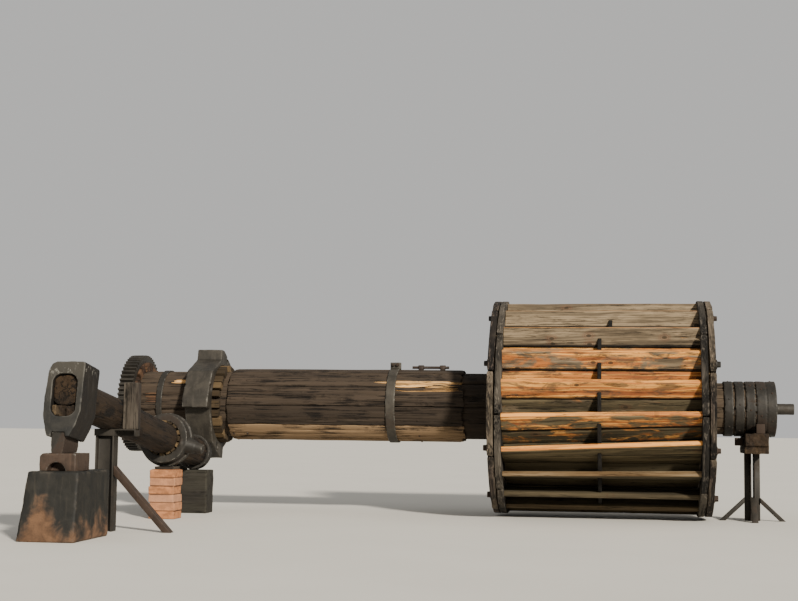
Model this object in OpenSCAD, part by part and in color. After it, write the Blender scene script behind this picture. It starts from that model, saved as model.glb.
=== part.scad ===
// Water wheel on a log shaft, with the cam ring and tail hammer that it drives.
// X runs along the shaft, the floor is Z = 0, the hammer side is -Y.

/* [Wheel] */
// Outer radius of the rims
wheel_r = 1100; // [800:10:1500]
// Outer face of each rim, from the middle of the wheel
wheel_half = 1100; // [700:10:1600]
// Depth of the rims, from their outer to their inner edge
rim_depth = 242; // [120:1:400]
// Thickness of one layer of felloes
felloe_t = 62; // [30:1:100]
// Thickness of the packing ring between the two layers
packing_t = 14; // [4:1:40]
// How far the packing ring lies back from the rim edge
packing_recess = 34; // [0:1:100]
// Felloes in one layer
felloe_count = 8; // [4:1:16]
// Gap at a joint between two boards
joint_gap = 4; // [1:0.5:12]

/* [Buckets] */
// Number of floats
float_count = 21; // [8:1:40]
// How far a float's lip lies back from the rim edge
lip_back = 12; // [0:1:100]
// Thickness of a float
float_t = 56; // [20:1:100]
// Angle that a float runs back between its lip and the sole
float_run = 20; // [5:0.5:30]
// Angle of the first float's lip
first_float = 184.5; // [0:0.5:360]
// Thickness of the sole boards
sole_t = 32; // [15:1:80]
// Width of the bracket in the middle of a bucket
bracket_w = 38; // [15:1:80]
// Middle of the brackets along the shaft
bracket_x = -12; // [-200:1:200]
// Bucket whose bracket sits off the line
odd_bucket = 17; // [0:1:39]
// Shift of the bracket that sits off the line
odd_shift = 105; // [-300:1:300]

/* [Arms] */
// Thickness of an arm along the shaft
arm_t = 110; // [50:2:200]
// Height of an arm
arm_h = 140; // [60:2:240]
// Radius of the washers on the rims
washer_r = 46; // [20:1:80]
// Thickness of the washers
washer_t = 10; // [4:1:20]
// Radius over the corners of a nut
nut_r = 30; // [15:1:60]
// Height of a nut with its bolt end
nut_h = 34; // [15:1:80]
// How far the bolts stand in from the rim edge
bolt_inset = 115; // [40:1:200]

/* [Shaft] */
// Gap between the wheel and the floor
ground_gap = 30; // [5:1:300]
// Radius of the bare log
log_r = 345; // [200:1:500]
// Left end of the log
log_left = -5095; // [-7000:5:-3000]
// Radius of the neck
neck_r = 262; // [100:1:400]
// Right end of the neck
neck_end = 1735; // [1300:5:2600]
// Thickness of the cladding staves
clad_t = 32; // [15:1:80]
// Number of cladding staves
clad_count = 11; // [6:1:20]
// Angle of the middle of the first stave
clad_first = 2; // [0:0.5:33]
// Left end of the cladding
clad_left = -3915; // [-5000:5:-2000]
// Right end of the cladding
clad_right = -1376; // [-2500:5:-1000]
// Radius of a gudgeon
gudgeon_r = 56; // [20:1:120]
// Length of a gudgeon outside the log
gudgeon_len = 195; // [80:5:500]
// Radius of a gudgeon's collar
collar_r = 84; // [40:1:160]
// Length of a gudgeon's collar
collar_len = 26; // [10:1:80]

/* [Shaft irons] */
// Thickness of the neck hoops
hoop_t = 18; // [5:1:40]
// Middle of the first neck hoop
hoop_start = 1270; // [1200:1:1500]
// Spacing of the neck hoops
hoop_pitch = 106; // [60:1:200]
// Width of a neck hoop
hoop_w = 90; // [30:1:160]
// Number of neck hoops
hoop_count = 5; // [2:1:8]
// Left side of the strap
strap_x = -2213; // [-4000:1:-1400]
// Width of the strap
strap_w = 100; // [30:1:200]
// Thickness of the strap
strap_t = 14; // [5:1:40]
// Width of the strap's ears along the shaft
ear_w = 110; // [40:1:200]
// Height of the strap's ears
ear_h = 78; // [30:1:160]
// Gap between the strap and the tie rod
rod_gap = 128; // [40:1:600]
// Length of the tie rod
rod_len = 390; // [150:5:900]
// Radius of the tie rod
rod_r = 14; // [6:1:30]
// Left side of the thin band
band_x = -4690; // [-4900:1:-4400]
// Width of the thin band
band_w = 68; // [20:1:150]
// Thickness of the thin band
band_t = 12; // [4:1:30]

/* [Cam ring] */
// Left side of the cam ring
cam_x = -4330; // [-4800:1:-3000]
// Width of the cam ring
cam_w = 276; // [100:2:500]
// Radius at the tips of the cams
cam_tip_r = 585; // [400:1:800]
// Radius at the foot of a cam's end face
cam_root_r = 478; // [350:1:700]
// Radius half way along a cam's back
cam_back_r = 532; // [350:1:700]
// Bore radius of the cam ring
cam_bore_r = 412; // [300:1:600]
// Angle of the first cam's tip
first_cam = 184; // [0:1:360]
// Wedges in the cam ring
cam_wedge_count = 26; // [6:1:40]
// How far the wedges stand out of the cam ring
cam_wedge_out = 96; // [0:2:200]

/* [Ring gear] */
// Left side of the ring gear
gear_x = -5060; // [-6000:1:-4500]
// Width of the ring gear
gear_w = 150; // [60:2:300]
// Number of teeth
gear_teeth = 60; // [20:1:120]
// Radius over the teeth
gear_tip_r = 522; // [300:1:800]
// Radius at the foot of the teeth
gear_root_r = 488; // [300:1:800]
// Bore radius of the ring gear
gear_bore_r = 440; // [300:1:700]
// Wedges in the ring gear
gear_wedge_count = 22; // [6:1:40]
// Part of its pitch that a wedge fills
wedge_fill = 0.8; // [0.3:0.05:0.95]

/* [Stands] */
// Middle of the right stand
right_stand_x = 1510; // [1350:5:1700]
// Middle of the left stand
left_stand_x = -4510; // [-4800:5:-4300]
// Width of a stand's post along the shaft
post_w = 156; // [80:2:300]
// Depth of a stand's post
post_d = 170; // [80:2:300]
// Gap between a post's two channels
post_gap = 26; // [10:1:80]
// Thickness of a post's webs and flanges
post_t = 12; // [5:1:25]
// Half depth of a saddle
saddle_half = 300; // [150:5:500]
// Height of the saddle above the post, under the journal
saddle_h = 172; // [60:2:300]
// Height of a saddle's shoulder over the bottom of the journal
shoulder_h = 32; // [5:1:120]
// Thickness of the chocks on the saddles
chock_t = 44; // [15:1:90]
// Height of the chocks
chock_h = 96; // [30:1:200]
// Free play between a journal and its saddle
journal_play = 0.3; // [0.1:0.1:2]
// Height at which the braces meet a post
brace_z = 235; // [100:5:500]
// Reach of a brace along the floor
brace_reach = 250; // [100:5:500]
// Width of a brace
brace_w = 60; // [20:2:120]
// Thickness of a brace
brace_t = 40; // [5:1:80]

/* [Helve] */
// Middle of the helve along the shaft
helve_x = -4190; // [-4600:5:-3600]
// Distance of the hurst ring in front of the shaft
helve_y = -1515; // [-3000:5:-1000]
// Height of the hurst ring
helve_z = 767; // [400:1:1200]
// Rise of the helve towards the head
helve_tilt = 8.7; // [0:0.1:25]
// Radius of the helve log
helve_r = 150; // [80:1:240]
// Tail end of the helve, from the hurst ring
tail_len = 1010; // [800:5:2400]
// Back of the head, from the hurst ring
head_back = -2280; // [-3200:5:-1000]
// Width of the head
head_w = 310; // [150:2:600]
// Depth of the head along the helve
head_d = 335; // [150:5:600]
// Height of the head above the helve's middle
head_up = 258; // [150:2:450]
// Depth of the head below the helve's middle
head_down = 345; // [150:2:600]
// Width of the eye
eye_w = 206; // [80:2:300]
// Top of the eye above the helve's middle
eye_up = 158; // [80:2:300]
// Bottom of the eye below the helve's middle
eye_down = 184; // [80:2:300]
// Radius of the eye's corners
eye_round = 72; // [20:1:90]
// Bottom of the helve's tenon below its middle
tenon_down = 92; // [40:2:160]
// Width of the bit
bit_w = 116; // [40:2:200]
// Depth of the bit along the helve
bit_d = 300; // [100:5:500]

/* [Hurst and tail] */
// Outer radius of the hurst ring
hurst_r = 240; // [180:1:400]
// Inner radius of the hurst ring
hurst_bore_r = 170; // [150:1:300]
// Length of the hurst ring along the helve
hurst_len = 150; // [60:2:300]
// Radius of the hurst ring's flange
flange_r = 262; // [200:1:420]
// Length of the flange
flange_len = 46; // [10:1:120]
// Reach of the trunnions from the helve's middle
trunnion_reach = 395; // [280:5:600]
// Turn of the trunnions about the helve
hurst_roll = 14; // [-30:1:30]
// Wedges in the hurst ring
hurst_wedge_count = 16; // [6:1:30]
// Outer radius of the tail hoop
tail_hoop_r = 180; // [155:1:260]
// Length of the tail hoop
tail_hoop_len = 92; // [30:2:200]

/* [Anvil] */
// Height of the anvil block
block_h = 545; // [200:5:900]
// Width of the anvil block on top
block_w = 420; // [200:5:700]
// Depth of the anvil block on top
block_d = 690; // [200:5:1000]
// Left side of the anvil block on top
block_x = -4405; // [-4700:5:-4000]
// Front of the anvil block on top
block_y = -4255; // [-4600:5:-3800]
// How far the block spreads at its left and front foot
block_spread = 62; // [0:2:150]
// Height of the anvil
anvil_h = 140; // [60:2:300]
// Width of the anvil
anvil_w = 300; // [120:5:500]
// Depth of the anvil
anvil_d = 300; // [120:5:500]
// Front of the anvil
anvil_y = -4180; // [-4500:5:-3800]
// Radius of the notch in the anvil's foot
notch_r = 78; // [20:1:130]

/* [Helve stand] */
// Middle of the helve stand in front of the shaft
stand_y = -3110; // [-3500:5:-2600]
// Top of the stand's bar
bar_top = 874; // [500:1:1200]
// Left end of the bar
bar_left = -4285; // [-4500:5:-4200]
// Length of the bar
bar_len = 368; // [200:5:600]
// Height of the bar
bar_h = 60; // [20:2:120]
// Depth of the bar
bar_d = 116; // [40:2:240]
// Width of the stand's post
hpost_w = 164; // [60:2:260]
// Thickness of the post's web and flanges
hpost_t = 14; // [5:1:30]
// Height at which the stand's brace meets the post
hbrace_z = 560; // [200:5:900]
// Reach of the brace along the floor
hbrace_reach = 522; // [200:1:900]
// Width of one of the brace's two strips
hbrace_w = 38; // [15:1:80]
// Thickness of the strips
hbrace_t = 52; // [20:1:100]
// Gap between the strips
hbrace_gap = 12; // [2:1:40]
// Width of the guide beside the helve
guide_w = 132; // [50:2:240]
// Depth of the guide
guide_d = 84; // [30:2:200]
// Height of the guide
guide_h = 400; // [150:5:700]

/* [Rests] */
// Top of the shim under the hurst ring
hurst_rest_z = 502; // [300:1:900]
// Thickness of the shim
shim_t = 24; // [5:1:60]
// Brick courses
brick_courses = 6; // [2:1:12]
// Length of a brick
brick_l = 252; // [180:1:330]
// Depth of the brick pile
brick_d = 246; // [100:1:400]
// Height of a mortar joint
mortar_h = 8; // [2:1:20]
// Top of the block under the tail
tail_rest_z = 441; // [100:1:600]
// Length of the block under the tail
tail_block_l = 360; // [150:5:600]
// Depth of the block under the tail
tail_block_d = 250; // [100:5:500]

/* [Hidden] */
$fn = 96;
eps = 0.01;
fit_gap = 0.2;
round_gap = 0.6; // between round faces, which are drawn as many flats
rim_inner_r = wheel_r - rim_depth;
lip_r = wheel_r - lip_back;
sole_r = rim_inner_r;
bolt_circle_r = wheel_r - bolt_inset;
axle_z = wheel_r + ground_gap;
rod_left = strap_x + strap_w + rod_gap;
rim_t = 2 * felloe_t + packing_t;
wheel_in = wheel_half - rim_t;
float_pitch = 360 / float_count;
clad_r = log_r + fit_gap + clad_t;
hoop_r = neck_r + fit_gap + hoop_t;
chock_y = saddle_half - chock_t / 2 - 2;
saddle_left_z = axle_z - log_r - saddle_h;
saddle_right_z = axle_z - hoop_r - saddle_h;
mid_x = (log_left + neck_end) / 2;
mid_y = (block_y - block_spread + wheel_r) / 2;
tail_y = helve_y + (tail_len - tail_hoop_len / 2) * cos(helve_tilt);
brick_h = (hurst_rest_z - shim_t) / brick_courses - mortar_h;

// Moves the machine so that the origin lies on the floor under its middle
module at_floor() {
    translate([-mid_x, -mid_y, 0]) children();
}

// Puts the origin of its children on the shaft's axis
module at_axle() {
    at_floor() translate([0, 0, axle_z]) children();
}

// Runs a flat shape, drawn as (Y, Z), along the shaft
module along_x(x, len) {
    translate([x, 0, 0]) rotate([90, 0, 90]) linear_extrude(height = len) children();
}

// A round bar along the shaft
module bar_x(x, len, r) {
    translate([x, 0, 0]) rotate([0, 90, 0]) cylinder(h = len, r = r);
}

// A ring about the shaft
module ring_x(x, len, r_out, r_in) {
    difference() {
        bar_x(x, len, r_out);
        bar_x(x - 1, len + 2, r_in);
    }
}

// A box given by two opposite corners
module box(a, b) {
    translate(a) cube(b - a);
}

// Both sides of the wheel: the child is drawn for the right side
module both_sides() {
    children();
    mirror([1, 0, 0]) children();
}

// Flat sector of a ring, drawn as (Y, Z)
module sector_2d(r_out, r_in, mid, span, gap) {
    rotate(mid) difference() {
        circle(r = r_out);
        circle(r = r_in);
        rotate(-span / 2) translate([-2 * r_out, -4 * r_out + gap / 2]) square(4 * r_out);
        rotate(span / 2) translate([-2 * r_out, -gap / 2]) square(4 * r_out);
    }
}

module felloe_layer(x, len, turn) {
    for (i = [0 : felloe_count - 1]) {
        along_x(x, len) sector_2d(wheel_r, rim_inner_r, turn + i * 360 / felloe_count,
            360 / felloe_count, joint_gap);
    }
}

// Distance and direction of a float's outer face
float_in = [sole_r * cos(float_run), sole_r * sin(float_run)];
float_vec = float_in - [lip_r, 0];
float_dir = float_vec / norm(float_vec);
float_out = [float_dir[1], -float_dir[0]];

// Small unevenness of the lips
function lip_shift(i) = 5 * sin(i * 137);

module float_2d(shift) {
    lip = [lip_r, 0] - float_dir * shift;
    foot = float_in + float_dir * float_t * 1.4;
    difference() {
        polygon([lip, foot, foot - float_out * float_t, lip - float_out * float_t]);
        circle(r = sole_r + round_gap);
    }
}

module bracket_2d() {
    mid = [lip_r, 0] + float_vec * 0.25;
    next = [for (p = [[lip_r, 0] - float_out * float_t + float_dir * 26,
        float_in - float_out * float_t * 1.2])
        [p[0] * cos(float_pitch) - p[1] * sin(float_pitch),
         p[0] * sin(float_pitch) + p[1] * cos(float_pitch)]];
    difference() {
        polygon([mid - float_out * 10, next[0] + float_out * 0, next[1], float_in - float_out * 10]);
        offset_float(0, 0.2);
        rotate(float_pitch) offset_float(0, 0.2);
        circle(r = sole_r + round_gap);
    }
}

// A float's outline with a thin margin, for what stands against it
module offset_float(shift, m) {
    lip = [lip_r, 0] - float_dir * (shift + 20);
    foot = float_in + float_dir * float_t * 2;
    polygon([lip + float_out * m, foot + float_out * m, foot - float_out * (float_t + m),
        lip - float_out * (float_t + m)]);
}

module shaft_log() {
    color("#3a2f26") at_axle() {
        bar_x(log_left, wheel_half - log_left, log_r);
        bar_x(wheel_half - 1, neck_end - wheel_half + 1, neck_r);
    }
}

module shaft_cladding() {
    color("#4a3b2e") at_axle() for (i = [0 : clad_count - 1]) {
        along_x(clad_left, clad_right - clad_left) sector_2d(clad_r, log_r + fit_gap,
            clad_first + i * 360 / clad_count, 360 / clad_count, joint_gap);
    }
}

module strap_hoop() {
    color("#3b3a38") at_axle() {
        ring_x(strap_x, strap_w, clad_r + fit_gap + strap_t, clad_r + fit_gap);
        for (s = [-34, 20]) {
            box([strap_x - (ear_w - strap_w) / 2, s, clad_r + 3],
                [strap_x + (ear_w + strap_w) / 2, s + 14, clad_r + ear_h]);
        }
    }
}

module strap_bolts() {
    color("#4a443d") at_axle() for (x = [26, strap_w - 26]) {
        translate([strap_x + x, 0, clad_r + ear_h - 26]) {
            translate([0, 34 + fit_gap, 0]) rotate([-90, 0, 0]) cylinder(h = 30, r = 17, $fn = 6);
            translate([0, -34 - fit_gap, 0]) rotate([90, 0, 0]) cylinder(h = 26, r = 17, $fn = 6);
        }
    }
}

module tie_rod() {
    rod_z = clad_r + 26;
    color("#4b4742") at_axle() {
        translate([0, 0, rod_z]) bar_x(rod_left, rod_len, rod_r);
        for (x = [70, rod_len - 90]) {
            difference() {
                box([rod_left + x, -30, clad_r - 4], [rod_left + x + 46, 30, rod_z + 8]);
                bar_x(rod_left + x - 1, 48, clad_r + fit_gap);
            }
            translate([0, 0, rod_z + 2]) bar_x(rod_left + x - 6, 58, 23);
        }
    }
}

function cam_points(i) = i >= 4 ? [] : let (a = first_cam + 90 * i) concat([
    [cam_tip_r * cos(a), cam_tip_r * sin(a)],
    [cam_root_r * cos(a + 3), cam_root_r * sin(a + 3)],
    [cam_back_r * cos(a + 46), cam_back_r * sin(a + 46)],
    [(cam_tip_r - 6) * cos(a + 82), (cam_tip_r - 6) * sin(a + 82)]], cam_points(i + 1));

module cam_ring() {
    color("#45413d") at_axle() difference() {
        along_x(cam_x, cam_w) difference() {
            polygon(cam_points(0));
            circle(r = cam_bore_r);
        }
        for (i = [0 : 3]) {
            rotate([first_cam - 24 + 90 * i, 0, 0]) translate([0, cam_root_r + 4, 0]) {
                bar_x(cam_x + cam_w - 22, 30, 42);
                bar_x(cam_x - 8, 30, 42);
            }
        }
    }
}

// Wedges driven between the log and a ring
module wedges(x, len, r_out, count, turn) {
    depth = sqrt(pow(r_out - fit_gap, 2) - pow(PI * log_r / count * wedge_fill, 2)) - log_r - fit_gap;
    half = PI * log_r / count * wedge_fill;
    for (i = [0 : count - 1]) {
        rotate([turn + i * 360 / count, 0, 0])
            translate([x + 6 * sin(i * 77), log_r + fit_gap, -half])
            cube([len + 14 * sin(i * 151), depth, 2 * half]);
    }
}

module cam_wedges() {
    color("#8a6a48") at_axle() wedges(cam_x + 8, cam_w + cam_wedge_out - 30, cam_bore_r,
        cam_wedge_count, 4);
}

module spur_gear() {
    step = 360 / gear_teeth;
    color("#4a4744") at_axle() along_x(gear_x, gear_w) difference() {
        polygon([for (i = [0 : gear_teeth - 1], k = [[0, 0], [0.42, 0], [0.56, 1], [0.86, 1]])
            (gear_root_r + k[1] * (gear_tip_r - gear_root_r))
            * [cos((i + k[0]) * step), sin((i + k[0]) * step)]]);
        circle(r = gear_bore_r);
    }
}

module gear_wedges() {
    color("#9c7450") at_axle() wedges(gear_x + 14, gear_w + 6, gear_bore_r, gear_wedge_count, 0);
}

module left_band() {
    color("#555a5c") at_axle() ring_x(band_x, band_w, log_r + fit_gap + band_t, log_r + fit_gap);
}

module gudgeons() {
    color("#6b5b4a") at_axle() {
        bar_x(neck_end, collar_len, collar_r);
        bar_x(neck_end + collar_len - 1, gudgeon_len - collar_len + 1, gudgeon_r);
        bar_x(log_left - collar_len, collar_len, collar_r);
        bar_x(log_left - gudgeon_len, gudgeon_len - collar_len + 1, gudgeon_r);
    }
}

module neck_hoops() {
    color("#3a3937") at_axle() for (i = [0 : hoop_count - 1]) {
        ring_x(hoop_start - hoop_w / 2 + i * hoop_pitch, hoop_w, hoop_r, neck_r + fit_gap);
    }
}

module neck_keys() {
    color("#8d7a60") at_axle() difference() {
        for (i = [0 : hoop_count - 2], a = [8, 98, 188, 278]) {
            rotate([a + 5 * i, 0, 0]) translate([hoop_start + hoop_w / 2 + i * hoop_pitch + 1,
                neck_r - 6, -26]) cube([hoop_pitch - hoop_w - 2, 16, 52]);
        }
        bar_x(hoop_start, hoop_count * hoop_pitch, neck_r + fit_gap);
    }
}

module rim_outer() {
    color("#5b5148") at_axle() both_sides()
        felloe_layer(wheel_half - felloe_t, felloe_t, first_float);
}

module rim_packing() {
    color("#6b5d45") at_axle() both_sides() ring_x(wheel_half - felloe_t - packing_t, packing_t,
        wheel_r - packing_recess, rim_inner_r);
}

module rim_inner() {
    color("#5a5a5c") at_axle() both_sides()
        felloe_layer(wheel_in, felloe_t, first_float + 180 / felloe_count);
}

module floats() {
    color("#a07a50") at_axle() for (i = [0 : float_count - 1]) {
        along_x(-wheel_in, 2 * wheel_in) rotate(first_float + i * float_pitch)
            float_2d(lip_shift(i));
    }
}

module bucket_brackets() {
    color("#6f6555") at_axle() for (i = [0 : float_count - 1]) {
        along_x(bracket_x - bracket_w / 2 + (i == odd_bucket ? odd_shift : 0), bracket_w)
            rotate(first_float + i * float_pitch) bracket_2d();
    }
}

module sole_boards() {
    color("#55534a") at_axle() for (i = [0 : float_count - 1]) {
        along_x(-wheel_in, 2 * wheel_in) sector_2d(sole_r, sole_r - sole_t,
            first_float + (i + 0.5) * float_pitch, float_pitch, joint_gap);
    }
}

arm_x = wheel_in + (rim_t - arm_t) / 2;
arm_len = 2 * rim_inner_r;

module arm_pair(lap_from) {
    for (s = [-1, 1]) {
        difference() {
            translate([arm_x, s * (log_r + fit_gap + arm_h / 2), 0]) translate([0, -arm_h / 2, -arm_len / 2])
                cube([arm_t, arm_h, arm_len]);
            for (u = [-1, 1]) {
                translate([arm_x + lap_from, s * (log_r + fit_gap + arm_h / 2) - arm_h / 2 - 1,
                    u * (log_r + fit_gap + arm_h / 2) - arm_h / 2])
                    cube([arm_t / 2 + eps, arm_h + 2, arm_h]);
            }
        }
    }
}

// Trims the arms to the inside of the rims
module inside_rim() {
    intersection() {
        children();
        bar_x(arm_x - 10, arm_t + 20, rim_inner_r - round_gap);
    }
}

module arms_across() {
    color("#4d4339") at_axle() both_sides() inside_rim()
        rotate([90, 0, 0]) arm_pair(0);
}

module arms_upright() {
    color("#4d4339") at_axle() both_sides() inside_rim() arm_pair(arm_t / 2);
}

module rim_bolts() {
    a0 = asin((log_r + arm_h / 2) / bolt_circle_r);
    color("#2e2b28") at_axle() both_sides() for (i = [0 : 3], s = [-1, 1]) {
        rotate([90 * i + s * a0, 0, 0]) translate([0, bolt_circle_r, 0]) {
            bar_x(wheel_half, washer_t, washer_r);
            translate([wheel_half + washer_t - 1, 0, 0]) rotate([0, 90, 0])
                cylinder(h = nut_h, r = nut_r, $fn = 6);
        }
    }
}

// Two channels back to back, standing on the floor
module post(x, top) {
    for (s = [0, 1]) {
        translate([x, 0, 0]) mirror([s, 0, 0]) difference() {
            box([post_gap / 2, -post_d / 2, 0], [post_w / 2, post_d / 2, top]);
            box([post_gap / 2 + post_t, -post_d / 2 - 1, -1],
                [post_w / 2 + 1, -post_t / 2, top + 1]);
            box([post_gap / 2 + post_t, post_t / 2, -1],
                [post_w / 2 + 1, post_d / 2 + 1, top + 1]);
        }
    }
}

module stand_posts() {
    color("#3a3a36") at_floor() {
        post(right_stand_x, saddle_right_z);
        post(left_stand_x, saddle_left_z);
    }
}

// A flat bar that rakes from a post down to the floor along +X
module brace(from) {
    run = norm([brace_z, brace_reach]);
    difference() {
        translate([from, 0, brace_z]) rotate([0, atan2(brace_z, brace_reach), 0])
            translate([-brace_w, -brace_w / 2, -brace_t]) cube([run + 2 * brace_w, brace_w, brace_t]);
        translate([from, 0, 0]) {
            box([-run, -brace_w, -run], [2 * run, brace_w, 0]);
            box([-run, -brace_w, -1], [0, brace_w, 2 * run]);
        }
    }
}

module braces(x) {
    translate([x, 0, 0]) {
        brace(post_w / 2);
        mirror([1, 0, 0]) brace(post_w / 2);
        rotate([0, 0, 90]) brace(post_d / 2);
        rotate([0, 0, -90]) brace(post_d / 2);
    }
}

module stand_braces() {
    color("#36352f") at_floor() {
        braces(right_stand_x);
        translate([left_stand_x, 0, 0]) {
            rotate([0, 0, 90]) brace(post_d / 2);
            rotate([0, 0, -90]) brace(post_d / 2);
        }
    }
}

// Two layers of timber, the upper one hollowed for the journal
module saddle(x, half, bottom, r) {
    at_axle() difference() {
        union() {
            box([x - half - 4, -saddle_half + 26, bottom - axle_z],
                [x + half + 4, saddle_half - 26, bottom - axle_z + saddle_h * 0.46]);
            box([x - half, -saddle_half, bottom - axle_z + saddle_h * 0.46],
                [x + half, saddle_half, -r + shoulder_h]);
        }
        bar_x(x - half - 10, 2 * half + 20, r + journal_play);
    }
}

module saddles() {
    color("#6a4c32") {
        saddle(right_stand_x + 26, 116, saddle_right_z, hoop_r);
        saddle(left_stand_x, 96, saddle_left_z, log_r);
    }
}

module saddle_chocks() {
    color("#3f3a33") at_axle() {
        for (s = [-1, 1]) {
            box([right_stand_x + 20, s * chock_y - chock_t / 2, -hoop_r + shoulder_h],
                [right_stand_x + 104, s * chock_y + chock_t / 2, -hoop_r + shoulder_h + chock_h]);
            box([left_stand_x - 40, s * chock_y - chock_t / 2, -log_r + shoulder_h],
                [left_stand_x + 40, s * chock_y + chock_t / 2, -log_r + shoulder_h + 0.75 * chock_h]);
        }
        box([right_stand_x - 172, -110, -hoop_r - 92], [right_stand_x - 94, -20, -hoop_r - 14]);
    }
}

// Frame of the helve: -Y runs to the head, +Y to the tail
module at_helve() {
    translate([helve_x, helve_y, helve_z]) rotate([-helve_tilt, 0, 0]) children();
}

// A round bar along the helve
module bar_y(y, len, r) {
    translate([0, y, 0]) rotate([-90, 0, 0]) cylinder(h = len, r = r);
}

// Points of one rounded corner
function corner(x, z, r, from) = [for (k = [0 : 5]) [x + r * cos(from + 18 * k), z + r * sin(from + 18 * k)]];

// A bar along the helve with rounded corners, between two heights and two places
module rounded_box(half, low, high, r, from, to) {
    translate([0, to, 0]) rotate([90, 0, 0]) linear_extrude(height = to - from) polygon(concat(
        corner(half - r, high - r, r, 0), corner(r - half, high - r, r, 90),
        corner(r - half, low + r, r, 180), corner(half - r, low + r, r, 270)));
}

// What the block under the tail takes off the tail
module tail_flat() {
    box([helve_x - tail_block_l, tail_y - tail_block_d, 0],
        [helve_x + tail_block_l, tail_y + tail_block_d, tail_rest_z]);
}

module helve() {
    color("#4b2f22") at_floor() difference() {
        at_helve() {
            bar_y(head_back, tail_len - head_back, helve_r);
            rounded_box(eye_w / 2 - 4, -tenon_down, eye_up - 6, eye_round - 4,
                head_back - head_d + 34, head_back + 1);
        }
        box([bar_left - 10, stand_y - bar_d / 2 - 4, 0],
            [bar_left + bar_len + 10, stand_y + bar_d / 2 + 4, bar_top]);
        tail_flat();
    }
}

module hammer_head() {
    color("#3d3d3b") at_floor() at_helve() difference() {
        translate([0, head_back, 0]) rotate([90, 0, 0]) linear_extrude(height = head_d)
            polygon([for (p = [[-0.47, 0.66], [-0.435, 0.82], [-0.37, 0.94], [-0.26, 1], [0.44, 1],
                [0.485, 0.98], [0.51, 0.93], [0.48, -0.41], [0.38, -0.72], [0.23, -1], [-0.37, -1],
                [-0.43, -0.86], [-0.53, -0.5], [-0.525, -0.17]])
                [p[0] * head_w, p[1] * (p[1] > 0 ? head_up : head_down)]]);
        rounded_box(eye_w / 2, -eye_down, eye_up, eye_round,
            head_back - head_d - 1, head_back + 1);
        box([-bit_w / 2 - 22, head_back - head_d - 1, -head_down - 1],
            [bit_w / 2 - 22, head_back + 1, -head_down + 36]);
    }
}

module hammer_bit() {
    color("#4c4440") at_floor() difference() {
        at_helve() translate([-22, head_back - (head_d - bit_d) / 2 - 4, 0]) rotate([90, 0, 0])
            linear_extrude(height = bit_d) polygon([
                [-bit_w / 2 + 1, -head_down + 36], [bit_w / 2 - 1, -head_down + 36],
                [bit_w / 2 - 1, -head_down - 40], [bit_w / 2 - 26, -head_down - 210],
                [-bit_w / 2 + 20, -head_down - 210], [-bit_w / 2 + 1, -head_down - 40]]);
        box([helve_x - anvil_w, anvil_y - anvil_d, 0],
            [helve_x + anvil_w, anvil_y + 2 * anvil_d, block_h + anvil_h]);
    }
}

module eye_wedges() {
    color("#6d4a30") at_floor() at_helve() intersection() {
        for (i = [0 : 4]) {
            box([-eye_w / 2 + 3 + i * (eye_w - 2) / 5, head_back - head_d + 22 + 13 * (i % 3),
                -eye_down + fit_gap],
                [-eye_w / 2 - 3 + (i + 1) * (eye_w - 2) / 5, head_back - 4 - 9 * (i % 2),
                -tenon_down - fit_gap - 5 * (i % 2)]);
        }
        rounded_box(eye_w / 2 - fit_gap, -eye_down + fit_gap, eye_up, eye_round - fit_gap,
            head_back - head_d, head_back);
    }
}

module hurst_ring() {
    color("#77756e") at_floor() difference() {
        at_helve() rotate([0, hurst_roll, 0]) {
            bar_y(-hurst_len / 2, hurst_len, hurst_r);
            bar_y(hurst_len / 2 - flange_len, flange_len + 14, flange_r);
            for (s = [-1, 1]) {
                rotate([0, s * 90, 0]) {
                    translate([0, 8, 180]) cylinder(h = trunnion_reach - 260, r1 = 92, r2 = 60);
                    translate([0, 8, trunnion_reach - 82]) cylinder(h = 82, r1 = 56, r2 = 44);
                }
            }
        }
        at_helve() bar_y(-hurst_len, 3 * hurst_len, hurst_bore_r);
        box([helve_x - hurst_r, helve_y - 2 * hurst_len, 0],
            [helve_x + hurst_r, helve_y + 2 * hurst_len, hurst_rest_z]);
    }
}

module hurst_wedges() {
    half = 25;
    depth = sqrt(pow(hurst_bore_r - fit_gap, 2) - half * half) - helve_r - fit_gap;
    color("#a49372") at_floor() at_helve() for (i = [0 : hurst_wedge_count - 1]) {
        rotate([0, i * 360 / hurst_wedge_count, 0])
            translate([helve_r + fit_gap, -hurst_len / 2 - 12 - 8 * (i % 3), -half])
            cube([depth, hurst_len + 26, 2 * half]);
    }
}

module tail_hoop() {
    color("#5c5852") at_floor() difference() {
        at_helve() difference() {
            bar_y(tail_len - tail_hoop_len, tail_hoop_len, tail_hoop_r);
            bar_y(tail_len - 2 * tail_hoop_len, 3 * tail_hoop_len, helve_r + fit_gap);
        }
        tail_flat();
    }
}

module anvil() {
    x = helve_x - anvil_w / 2 - 4;
    color("#574b45") at_floor() difference() {
        translate([x, anvil_y, block_h]) translate([0, anvil_d, 0]) rotate([90, 0, 0])
            linear_extrude(height = anvil_d) polygon([[0, 0], [anvil_w, 0], [anvil_w, anvil_h],
                [26, anvil_h], [0, anvil_h - 20]]);
        translate([x + 0.46 * anvil_w, anvil_y - 1, block_h - 8]) rotate([-90, 0, 0])
            cylinder(h = 92, r = notch_r);
    }
}

module anvil_block() {
    color("#33332d") at_floor() difference() {
        box([block_x - block_spread, block_y - block_spread, 0],
            [block_x + block_w, block_y + block_d, block_h]);
        translate([block_x - block_spread, 0, 0]) rotate([0, atan(block_spread / block_h), 0])
            box([-block_w, block_y - block_w, -block_h], [0, block_y + 2 * block_d, 2 * block_h]);
        translate([0, block_y - block_spread, 0]) rotate([-atan(block_spread / block_h), 0, 0])
            box([block_x - block_w, -block_w, -block_h], [block_x + 2 * block_w, 0, 2 * block_h]);
    }
}

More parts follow.
